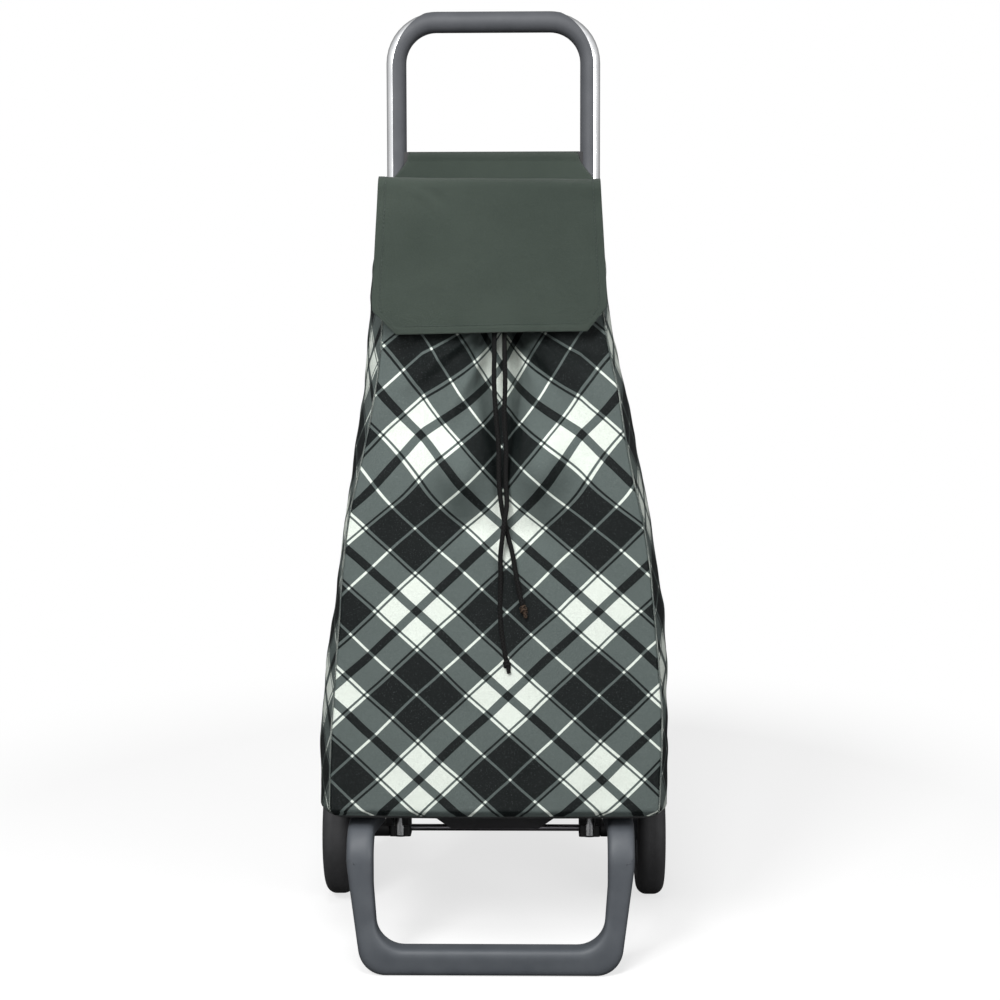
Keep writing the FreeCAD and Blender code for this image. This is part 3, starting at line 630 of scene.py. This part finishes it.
def cloth_up(up, x):
    """Height on the flat cloth; the pattern is drawn together towards the gather."""
    aside = min(1.0, abs(x - plaid_middle(up)) / 85.0)
    lift = 15.7 * step(up, 395, 480) * aside ** 1.5 + 3.5 * step(up, 380, 440)
    lift += (7.0 + 9.0 * aside) * step(up, 470, 600)
    return up + 0.075 * max(0.0, up - 370.0) - lift - PLAID_BASE


def cloth_across(x, up):
    """Place across the flat cloth; the valley under the gather swallows some of it."""
    across = x - plaid_middle(up)
    taken = 11.0 * step(up, 345, 470) + 17.0 * step(up, 470, 610)
    return across + taken * math.tanh(across / 27.0)


SIDE_CLOTH = 215.0              # depth of a side panel on the flat cloth
REAR_CLOTH = 300.0
RIGHT_START, LEFT_START = 62.0, 50.0     # cloth skipped at the front seams
RIGHT_LOW, REST_LOW = 50.0, 73.0         # the pattern's lowest point, on the right and on the rest
HEM_UP, SIDE_BASE = 50.0, 120.0
MOUTH_CLOTH = 110.0             # cloth from the shoulder to the mouth


def bag_uv(row, column):
    """Place on the flat cloth, in metres. The front's pattern is centred; the sides follow on."""
    if row < FLOOR_ROWS:
        return (column * 0.003, row * 0.01)
    body = min(row - FLOOR_ROWS, BODY_ROWS - 1) / (BODY_ROWS - 1)
    over = max(0, row - FLOOR_ROWS - BODY_ROWS + 1) / SHOULDER_ROWS
    if column <= FRONT_COLS:
        share = 2 * column / FRONT_COLS - 1
        up = 60.0 + (SHOULDER_UP - 60.0) * body
        x = front_x(up, share)
        return (cloth_across(x, up) * MM, (cloth_up(up, x) + MOUTH_CLOTH * over) * MM)
    low = RIGHT_LOW if column <= FRONT_COLS + SIDE_COLS else REST_LOW
    up = low + (SHOULDER_UP - HEM_UP) * body
    if column <= FRONT_COLS + SIDE_COLS:
        along = (column - FRONT_COLS) / SIDE_COLS * SIDE_CLOTH + RIGHT_START
    elif column <= FRONT_COLS + SIDE_COLS + REAR_COLS:
        past = column - FRONT_COLS - SIDE_COLS
        along = RIGHT_START + SIDE_CLOTH + past / REAR_COLS * REAR_CLOTH
    else:
        along = -(1 - (column - RING_COLS + SIDE_COLS) / SIDE_COLS) * SIDE_CLOTH - LEFT_START
    return (along * MM, (up - SIDE_BASE + MOUTH_CLOTH * over) * MM)


def make_bag(plaid, dark):
    rows = FLOOR_ROWS + BODY_ROWS + SHOULDER_ROWS
    bag = grid_piece("bag_cloth", rows, RING_COLS, bag_point, bag_uv, plaid, wrap=True)
    bag.data.materials.append(dark)
    for index, face in enumerate(bag.data.polygons):
        if index < FLOOR_ROWS * RING_COLS - RING_COLS // 2:
            face.material_index = 1
    close_ring(bag, 0)
    thicken(bag, 1.4)
    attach(bag, "frame")
    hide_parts("bag_front_panel", "bag_side_panel_left", "bag_side_panel_right",
                "bag_bottom_panel", "bag_base_stiffener")
    flatten(bag)
    return bag


def close_ring(piece, row):
    """Closes the small hole left in the middle of the floor."""
    mesh = bmesh.new()
    mesh.from_mesh(piece.data)
    mesh.verts.ensure_lookup_table()
    ring = [mesh.verts[row * RING_COLS + k] for k in range(RING_COLS)]
    face = mesh.faces.new(list(reversed(ring)))
    face.material_index = 1
    face.smooth = True
    mesh.to_mesh(piece.data)
    mesh.free()


def seam_line(name, column, lift_x, material):
    """Piping sewn into a front corner seam."""
    path = []
    for row in range(FLOOR_ROWS + 2, FLOOR_ROWS + BODY_ROWS + 6, 2):
        point = bag_point(row, column)
        path.append(point + Vector((lift_x * MM, -0.4 * MM, 0)))
    piping = tube_mesh(name, path, 0.9 * MM, material, sides=8)
    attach(piping, "frame")
    flatten(piping)


# ---- back panel, casing
def make_back_panel(cloth):
    """Plain cloth back with a sleeve over the hanger bar."""
    rows, cols = 150, 60
    top_up, lean_start = 779.0, 741.0

    def half_width(up):
        wide = np.interp(up, (43, 150, 335, 600, 742), (141, 161, 150, 118, 119))
        return wide + (98.0 - wide) * step(up, 746, 784)

    def place(i, j):
        up = 43.0 + (top_up + 9.0 - 43.0) * min(1.0, i / (rows - 22))
        across = 2 * j / (cols - 1) - 1
        forward = 16.9 - (16.9 - 7.6) * min(1.0, max(0.0, (up - lean_start) / (top_up - lean_start)))
        x = across * half_width(min(up, top_up))
        forward += 0.7 * noise.noise(Vector((x * 0.02, up * 0.012, 4.0))) * (1 - step(up, 730, 742))
        # the sleeve turns over the bar and is sewn down behind it
        if i > rows - 22:
            turn = (i - rows + 22) / 21.0
            angle = min(1.0, turn * 1.35) * math.pi
            forward = 7.6 * math.cos(angle)
            up = top_up + 0.5 + 7.6 * math.sin(angle) - max(0.0, turn - 0.74) * 40
        elif up > top_up:
            up = top_up + (up - top_up) * 0.05
        return world(x, forward, up)

    def uv(i, j):
        return (j * 0.005, i * 0.0052)

    panel = grid_piece("back_panel_cloth", rows, cols, place, uv, cloth)
    thicken(panel, 1.8, offset=1.0)
    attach(panel, "frame")
    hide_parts("bag_back_panel")


def make_casing(plaid):
    """Hem casing across the front of the mouth; it follows the cloth below it."""
    rows, cols = 14, 120

    def place(i, j):
        share = 2 * j / (cols - 1) - 1
        up = 603.0 + 22.0 * i / (rows - 1)
        x = front_x(up, 0.94 * share)
        forward = front_flat(up) - 6 * share ** 2 + front_relief(x, up)
        swell = 1.2 + 2.0 * math.sin(math.pi * i / (rows - 1)) + 0.5 * math.sin(0.5 * x)
        return world(x, forward + swell, up)

    def uv(i, j):
        return (j * 0.0018 + 0.03, i * 0.0018 + 0.4)

    casing = grid_piece("mouth_hem", rows, cols, place, uv, plaid)
    thicken(casing, 1.0)
    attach(casing, "frame")
    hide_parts("mouth_casing")
    flatten(casing)


# ---- lid
LID_SEAM = (17.5, 747.0)
LID_FOLD = (170.6, 745.0)
LID_HEM = (190.7, 580.0)


def lid_spine(share):
    """Forward and up of the lid's middle line, from the rear seam to the front hem."""
    top = LID_FOLD[0] - LID_SEAM[0]
    drop = math.hypot(LID_HEM[0] - LID_FOLD[0], LID_HEM[1] - LID_FOLD[1])
    run = share * (top + drop)
    radius = 11.0
    down = ((LID_HEM[0] - LID_FOLD[0]) / drop, (LID_HEM[1] - LID_FOLD[1]) / drop)
    corner_start, corner_end = top - radius, top + radius
    if run < corner_start:
        return LID_SEAM[0] + run, LID_SEAM[1] - 2.0 * run / top
    if run > corner_end:
        past = run - top
        return LID_FOLD[0] + down[0] * past, LID_FOLD[1] + down[1] * past
    t = (run - corner_start) / (2 * radius)
    a = (LID_FOLD[0] - radius, LID_FOLD[1])
    b = (LID_FOLD[0] + down[0] * radius, LID_FOLD[1] + down[1] * radius)
    forward = (1 - t) ** 2 * a[0] + 2 * t * (1 - t) * LID_FOLD[0] + t * t * b[0]
    up = (1 - t) ** 2 * a[1] + 2 * t * (1 - t) * LID_FOLD[1] + t * t * b[1]
    return forward, up


def lid_half_width(up, side):
    """Half width of the lid; the lower corners are cut off."""
    hem = 103.5 if side > 0 else 98.5
    return np.interp(up, (579, 605, 614, 744), (hem, 125, 126, 119))


def lid_point(share, across, lift=0.0):
    """Point on the lid: share runs from the rear seam to the hem, across from -1 to 1."""
    forward, up = lid_spine(share)
    ahead = lid_spine(min(1.0, share + 0.004))
    back = lid_spine(max(0.0, share - 0.004))
    run = math.hypot(ahead[0] - back[0], ahead[1] - back[1])
    normal = (-(ahead[1] - back[1]) / run, (ahead[0] - back[0]) / run)
    x = across * lid_half_width(up, across) - 0.8
    front = step(share, 0.50, 0.56)
    wave = noise.noise(Vector((x * 0.016, up * 0.014, 1.3)))
    relief = 1.3 * wave + 0.7 * noise.noise(Vector((x * 0.035, up * 0.03, 8.0)))
    crease = 2.4 * bell(x + 0.9 * (up - 740), -86, 9) * bell(up, 736, 14)
    crease -= 1.8 * bell(x + 0.9 * (up - 740), -70, 9) * bell(up, 734, 14)
    hem_wave = 1.5 * math.sin(x * 0.034 + 0.6) * step(share, 0.80, 1.0)
    curl = 2.5 * abs(across) ** 4
    sag = -2.6 * math.sin(math.pi * min(1.0, share / 0.47)) * (1 - across ** 2) * (1 - front)
    skew = 1.8 * (x / 110) * step(share, 0.7, 1.0) - 1.6 * (x / 110) * bell(share, 0.5, 0.12)
    out = (relief + hem_wave + crease - curl) * front + lift
    return world(x, forward + normal[0] * out, up + normal[1] * out + sag + 0.8 * wave * (1 - front) + skew)


def hem_bump(share, across, up):
    """The turned hem stands a little proud along the sides, the cut corners and the bottom edge."""
    width = lid_half_width(up, across)
    edge = (1 - abs(across)) * width
    bottom = (up - LID_HEM[1]) if share > 0.6 else 99.0
    nearest = min(edge, bottom)
    return 0.55 * (1 - step(nearest, 6.0, 7.6))


def make_lid(cloth, thread):
    rows, cols = 210, 170

    def place(i, j):
        share = i / (rows - 1)
        across = 2 * j / (cols - 1) - 1
        return lid_point(share, across, hem_bump(share, across, lid_spine(share)[1]))

    def uv(i, j):
        return (j * 0.00148, i * 0.00151)

    lid = grid_piece("lid_cloth", rows, cols, place, uv, cloth)
    thicken(lid, 2.0, offset=0.0)
    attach(lid, "lid")
    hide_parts("lid_flap", "lid_binding")
    flatten(lid)

    margin = 8.6                                         # stitch line in from the edge
    corner_start, corner_end = 0.90, 0.972               # shares where the cut corner starts and ends

    def side_line(side):
        """Stitch line down one side and along its cut corner."""
        line = [lid_point(0.03 + 0.87 * k / 120, side * (1 - margin / 124), 1.25) for k in range(121)]
        for k in range(1, 40):
            share = corner_start + (corner_end - corner_start) * k / 39
            half = lid_half_width(lid_spine(share)[1], 1)
            line.append(lid_point(share, side * (1 - margin / half), 1.25))
        return line

    bottom = [lid_point(0.973, -0.90 + 1.80 * k / 160, 1.25) for k in range(161)]
    for index, run in enumerate((side_line(-1), bottom, side_line(1))):
        row = stitches("lid_stitches_%d" % index, run, thread)
        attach(row, "lid")
        flatten(row)
    return lid


# ---- drawstring
CORD_DIAMETER = 5.0
CORD_REST = 3.4
# x, lift, up: the same points as in part.py, top to bottom
SHORT_ROUTE = ((4.3, 0.0, 598), (4.6, 0.0, 566), (3.8, 0.0, 527), (6.2, 0.0, 490),
               (9.6, 0.0, 456), (9.0, 0.0, 424), (11.4, 0.0, 398), (17.2, 0.0, 370),
               (23.4, 0.0, 348), (27.0, 0.2, 326), (30.6, 1.6, 306), (34.6, 2.0, 290))
LONG_ROUTE = ((15.5, 0.0, 598), (15.0, 0.0, 566), (16.4, 0.0, 527), (14.6, 0.0, 490),
              (17.6, 0.0, 456), (16.4, 0.6, 424), (18.4, 5.0, 397), (15.6, 8.2, 381),
              (13.2, 8.0, 362), (10.6, 3.4, 343), (11.6, 0.0, 318), (10.0, 0.0, 286),
              (12.6, 1.4, 255), (17.2, 2.0, 232))


GUIDE_SIZE = Vector((22.0, 6.0, 4.9))


def route_points(route):
    return [world(x, front_flat(up) + CORD_REST + lift, up) for x, lift, up in route]


def smooth_line(points):
    """Points along the route's NURBS spline."""
    curve = bpy.data.curves.new("route", "CURVE")
    curve.dimensions = "3D"
    spline = curve.splines.new("NURBS")
    spline.points.add(len(points) - 1)
    for target, point in zip(spline.points, points):
        target.co = (*point, 1)
    spline.order_u = 3
    spline.use_endpoint_u = True
    spline.resolution_u = 12
    holder = bpy.data.objects.new("route", curve)
    bpy.context.scene.collection.objects.link(holder)
    bpy.context.view_layer.update()
    graph = bpy.context.evaluated_depsgraph_get()
    mesh = bpy.data.meshes.new_from_object(holder.evaluated_get(graph))
    line = [v.co.copy() for v in mesh.vertices]
    bpy.data.objects.remove(holder)
    bpy.data.meshes.remove(mesh)
    return line


def make_knot(name, line, material):
    """Overhand knot pulled tight: two fat turns and a short frayed tail."""
    end = line[-1]
    direction = (line[-1] - line[-3]).normalized()
    side = direction.cross(Vector((0, 1, 0))).normalized()
    other = direction.cross(side)
    turns, steps = 2.2, 70
    path = []
    for k in range(steps):
        share = k / (steps - 1)
        angle = 2 * math.pi * turns * share
        radius = (1.5 + 0.9 * math.sin(math.pi * share)) * MM
        centre = end + direction * ((0.6 + 7.4 * share) * MM)
        path.append(centre + (side * math.cos(angle) + other * math.sin(angle)) * radius)
    tail_start = path[-1]
    for k in range(1, 6):
        path.append(tail_start + direction * (k * 1.1 * MM) - other * (0.1 * k * MM))
    knot = tube_mesh(name, path, 1.95 * MM, material, sides=12, ribs=0.10, twist=1400, rib_count=6)
    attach(knot, "frame")
    flatten(knot)
    return knot


def make_cord(name, route, node, knot_node, material, knot_material):
    points = route_points(route)
    line = smooth_line(points)
    length = sum((b - a).length for a, b in zip(line, line[1:]))
    cord = tube_mesh(name, line, 0.5 * CORD_DIAMETER / 1.04 * MM, material, sides=16,
                     ribs=0.10, twist=700, rib_count=8)
    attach(cord, "frame")
    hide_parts(node)
    knot = make_knot(name + "_knot", line, knot_material)
    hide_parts(knot_node)
    [tuple(p) for p in line]
    flatten(cord)


def make_cord_guide(material):
    """Small moulded guide that both cords leave."""
    low, high = (Vector(corner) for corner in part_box("cord_grommet"))
    bpy.ops.mesh.primitive_cube_add(size=1.0, location=(low + high) / 2)
    guide = bpy.context.object
    guide.name = "cord_guide"
    guide.rotation_euler = (-LEAN, 0, 0)
    guide.scale = GUIDE_SIZE * MM
    bpy.ops.object.transform_apply(location=True, rotation=True, scale=True)
    edges = guide.modifiers.new("edges", "BEVEL")
    edges.width = 1.2 * MM
    edges.segments = 3
    bake_modifiers(guide)
    guide.data.materials.append(material)
    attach(guide, "frame")
    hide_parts("cord_grommet")
    flatten(guide)


# ---- foot loop
def make_foot_loop(material):
    """The moulded loop: rounded arms, elbow, tapered legs and floor bar in one sweep.
    It follows an outer and an inner line, so that the corners may be tight outside and wide inside."""
    low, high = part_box("foot_loop")
    hinge = Vector(JOINTS["foot_fold"]["pos_m"])
    front, half_out = low[1], high[0]
    elbow_y, elbow_z = front + 30.5 * MM, 155.5 * MM
    toe_y, bar_z = front + 13.0 * MM, 15.0 * MM

    def leg_y(z):
        return toe_y + (elbow_y - toe_y) * max(0.0, z - bar_z) / (elbow_z - bar_z)

    def line(upper, bend_z, toe, toe_z):
        return [Vector((upper, hinge.y, hinge.z)), Vector((upper, elbow_y, elbow_z)),
                Vector((upper, leg_y(bend_z), bend_z)), Vector((toe, toe_y, toe_z)),
                Vector((0, toe_y, toe_z))]

    outer = matched_path(line(half_out, 119 * MM, half_out - 15.5 * MM, 0.0),
                         (0, 30 * MM, 150 * MM, 29 * MM, 0))
    inner = matched_path(line(half_out - 29.0 * MM, 96 * MM, half_out - 33.7 * MM, 30 * MM),
                         (0, 30 * MM, 120 * MM, 31 * MM, 0))
    leg = Vector((0, toe_y - elbow_y, bar_z - elbow_z)).normalized()
    rings = []
    for i, (out, within) in enumerate(zip(outer, inner)):
        here = (out + within) / 2
        before, after = max(i - 1, 0), min(i + 1, len(outer) - 1)
        tangent = (outer[after] + inner[after] - outer[before] - inner[before]).normalized()
        flat = Vector((0, tangent.y, tangent.z))
        face = Vector((1, 0, 0)).cross(flat.normalized() if here.z > 55 * MM else leg).normalized()
        face = face.lerp(Vector((0, 1, 0)), 1 - step(here.z / MM, 16, 55)).normalized()
        width = out - within
        across = (width - face * width.dot(face)).normalized()
        depth = 22.0 + 4.0 * (1 - step(here.z / MM, 20, 60))
        rings.append((here, across, face, width.length / 2, depth / 2 * MM))
    full = rings + [mirror_ring(r) for r in reversed(rings[:-1])]
    return sweep_rounded("foot_loop_moulding", full, material)


def mirror_ring(ring):
    here, across, face, half_width, half_depth = ring
    flip = Vector((-1, 1, 1))
    return here * flip, across * flip, face * flip, half_width, half_depth


def matched_path(corners, radii, run_steps=16, turn_steps=14):
    """Straight runs joined by round bends, with the same count of points for any corners."""
    points = [corners[0]]
    for before, here, after, radius in zip(corners, corners[1:], corners[2:], radii[1:]):
        back, ahead = (before - here).normalized(), (after - here).normalized()
        half = back.angle(ahead) / 2
        reach = radius / math.tan(half)
        centre = here + (back + ahead).normalized() * (radius / math.sin(half))
        start, end = here + back * reach, here + ahead * reach
        left = points[-1]
        points += [left.lerp(start, k / run_steps) for k in range(1, run_steps + 1)]
        arm, far = start - centre, end - centre
        turn, axis = arm.angle(far), arm.cross(far)
        points += [centre + Matrix.Rotation(turn * k / turn_steps, 3, axis) @ arm
                   for k in range(1, turn_steps + 1)]
    left = points[-1]
    points += [left.lerp(corners[-1], k / run_steps) for k in range(1, run_steps + 1)]
    return points


def sweep_rounded(name, rings, material, sides=36, power=4.2):
    """Sweep of a rounded rectangle; the ends are domed."""
    points, faces = [], []
    for index, (here, across, face, half_width, half_depth) in enumerate(rings):
        other = rings[0][0] if index < len(rings) / 2 else rings[-1][0]
        end_distance = (here - other).length / MM
        dome = math.sqrt(max(0.0, 1 - (1 - min(1.0, end_distance / 9.0)) ** 2)) * 0.35 + 0.65
        for k in range(sides):
            angle = 2 * math.pi * (k + 0.5) / sides
            c, s = math.cos(angle), math.sin(angle)
            scale = (abs(c) ** power + abs(s) ** power) ** (-1 / power)
            point = here + across * (c * scale * half_width * dome) + face * (s * scale * half_depth * dome)
            point.z = max(point.z, 0.0002)
            points.append(point)
    for i in range(len(rings) - 1):
        for k in range(sides):
            nxt = (k + 1) % sides
            faces.append((i * sides + k, i * sides + nxt, (i + 1) * sides + nxt, (i + 1) * sides + k))
    faces.append(tuple(reversed(range(sides))))
    last = (len(rings) - 1) * sides
    faces.append(tuple(last + k for k in range(sides)))
    piece = mesh_piece(name, points, faces, material)
    mesh = bmesh.new()
    mesh.from_mesh(piece.data)
    bmesh.ops.recalc_face_normals(mesh, faces=mesh.faces)
    mesh.to_mesh(piece.data)
    mesh.free()
    return piece


# ---- stage
AMBIENT = 0.40                  # strength of the surroundings for diffuse light
MIRRORED = 1.15                 # and as seen in shiny surfaces
BOUNCE = 0.08                   # how much light the floor gives back to the trolley
SHADOW = 0.30                   # share of the contact shadow that is kept


def make_floor():
    """White sweep: the floor keeps some contact shadow and fades into the white surroundings."""
    shader = Shader("floor", (0.90, 0.90, 0.90), 0.9, specular=0.1)
    length = shader.node("ShaderNodeVectorMath")
    length.operation = "LENGTH"
    shader.link(shader.node("ShaderNodeNewGeometry").outputs["Position"], length.inputs[0])
    reach = shader.map_range(length.outputs["Value"], 0.0, 1.0, 0.15, 1.1, smooth=True)
    seen = shader.node("ShaderNodeLightPath").outputs["Is Camera Ray"]
    faded = shader.math("MAXIMUM", reach, 1.0 - SHADOW)
    shader.link(shader.mix(seen, (BOUNCE,) * 3, (0.9,) * 3), shader.bsdf.inputs["Base Color"])
    blend = shader.node("ShaderNodeMixShader")
    shader.link(shader.math("MULTIPLY", faded, seen), blend.inputs[0])
    shader.link(shader.bsdf.outputs[0], blend.inputs[1])
    shader.link(shader.node("ShaderNodeEmission").outputs[0], blend.inputs[2])
    shader.link(blend.outputs[0], shader.tree.nodes["Material Output"].inputs["Surface"])
    bpy.ops.mesh.primitive_plane_add(size=60, location=(0, 0, 0))
    floor = bpy.context.object
    floor.name = "floor"
    floor.data.materials.append(shader.material)


def make_surroundings():
    """Pure white for the camera; for the trolley, brighter in front of it than behind it."""
    surroundings = bpy.data.worlds.new("studio")
    surroundings.use_nodes = True
    nodes = Nodes(surroundings.node_tree)
    background = nodes.tree.nodes["Background"]
    ray = nodes.node("ShaderNodeLightPath")
    unseen = nodes.map_range(ray.outputs["Is Glossy Ray"], AMBIENT, MIRRORED)
    nodes.link(nodes.map_range(ray.outputs["Is Camera Ray"], unseen, 1.0), background.inputs["Strength"])
    behind = nodes.split(nodes.coords("Generated"))["Y"]
    shade = nodes.map_range(behind, 1.0, 0.25, -0.6, 0.8)
    nodes.link(nodes.math("MAXIMUM", shade, ray.outputs["Is Camera Ray"]), background.inputs["Color"])
    bpy.context.scene.world = surroundings
    bpy.context.scene.view_settings.view_transform = "Standard"


def make_lights():
    add_light("key", (-1.0, -1.8, 1.9), 56, 0.7)
    add_light("fill", (2.0, -1.9, 1.2), 35, 1.3)
    add_light("top", (-0.1, -1.3, 2.4), 32, 0.6)


def add_light(name, place, power, size):
    data = bpy.data.lights.new(name, "AREA")
    data.energy = power
    data.size = size
    light = bpy.data.objects.new(name, data)
    light.location = place
    light.rotation_euler = (Vector((0, 0, 0.5)) - Vector(place)).to_track_quat("-Z", "Y").to_euler()
    bpy.context.scene.collection.objects.link(light)


# ---- put together
def paint(material, *nodes):
    """Gives CAD nodes a material."""
    for node in nodes:
        data = NODES[node].data
        if not data.materials:
            data.materials.append(material)
        for k in range(len(data.materials)):
            data.materials[k] = material


def pair(name):
    return name + "_left", name + "_right"


def main():
    make_camera()
    make_floor()
    make_surroundings()
    make_lights()
    plaid = plaid_cloth()
    plain = plain_cloth("lid_fabric", (0.023, 0.033, 0.026), (0.034, 0.046, 0.037))
    floor_cloth = plain_cloth("floor_fabric", (0.016, 0.018, 0.018), (0.028, 0.03, 0.03))
    thread = plain_cloth("thread", (0.022, 0.032, 0.028), (0.040, 0.052, 0.046), 0.5)
    webbing = plain_cloth("strap_webbing", (0.014, 0.014, 0.015), (0.028, 0.028, 0.03))
    slate = moulded("slate_plastic", (0.055, 0.061, 0.070), (0.069, 0.076, 0.085), 0.52)
    grip = moulded("grip_plastic", (0.055, 0.058, 0.064), (0.069, 0.072, 0.079), 0.55, 1800, 0.00004, 0.2)
    charcoal = moulded("charcoal_plastic", (0.022, 0.022, 0.025), (0.034, 0.034, 0.037), 0.48)
    black = moulded("black_plastic", (0.010, 0.010, 0.011), (0.020, 0.020, 0.021), 0.5)
    cord = braid("cord_braid", (0.002, 0.002, 0.002), (0.008, 0.008, 0.008))
    tip = braid("cord_tip", (0.010, 0.007, 0.005), (0.050, 0.034, 0.024))
    zinc = steel("zinc_plate", (0.60, 0.61, 0.62), (0.74, 0.75, 0.75), 0.3)
    axle = steel("axle_steel", (0.16, 0.155, 0.17), (0.26, 0.25, 0.27), 0.35)

    paint(brushed_tube(), "frame_tube")
    paint(grip, "handle_grip")
    paint(black, *pair("tube_plug"), *pair("tube_socket"), *pair("axle_spacer"), "hanger_bar")
    paint(charcoal, "axle_beam")
    paint(axle, "axle_rod")
    paint(zinc, "socket_screws", "axle_washers", *pair("hinge_pin"), "strap_snaps")
    paint(webbing, "bag_straps")
    paint(foam(), *pair("tyre"))
    paint(slate, *pair("wheel_rim"), *pair("hub_cap"))
    paint(moulded("bush_nylon", (0.60, 0.60, 0.57), (0.72, 0.72, 0.69), 0.4), *pair("hub_bush"))
    for node in (*pair("tube_socket"), "axle_beam", *pair("wheel_rim"), "hanger_bar"):
        soften(node, 0.8)

    bag = make_bag(plaid, floor_cloth)
    seam_line("seam_piping_left", 0, -0.6, plaid)
    seam_line("seam_piping_right", FRONT_COLS, 0.6, plaid)
    make_back_panel(plain)
    make_casing(plaid)
    make_lid(plain, thread)
    make_cord_guide(black)
    make_cord("cord_short", SHORT_ROUTE, "drawstring_short", "cord_knot_short", cord, tip)
    make_cord("cord_long", LONG_ROUTE, "drawstring_long", "cord_knot_long", cord, cord)
    loop = make_foot_loop(slate)
    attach(loop, "foot")
    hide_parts("foot_loop")


main()
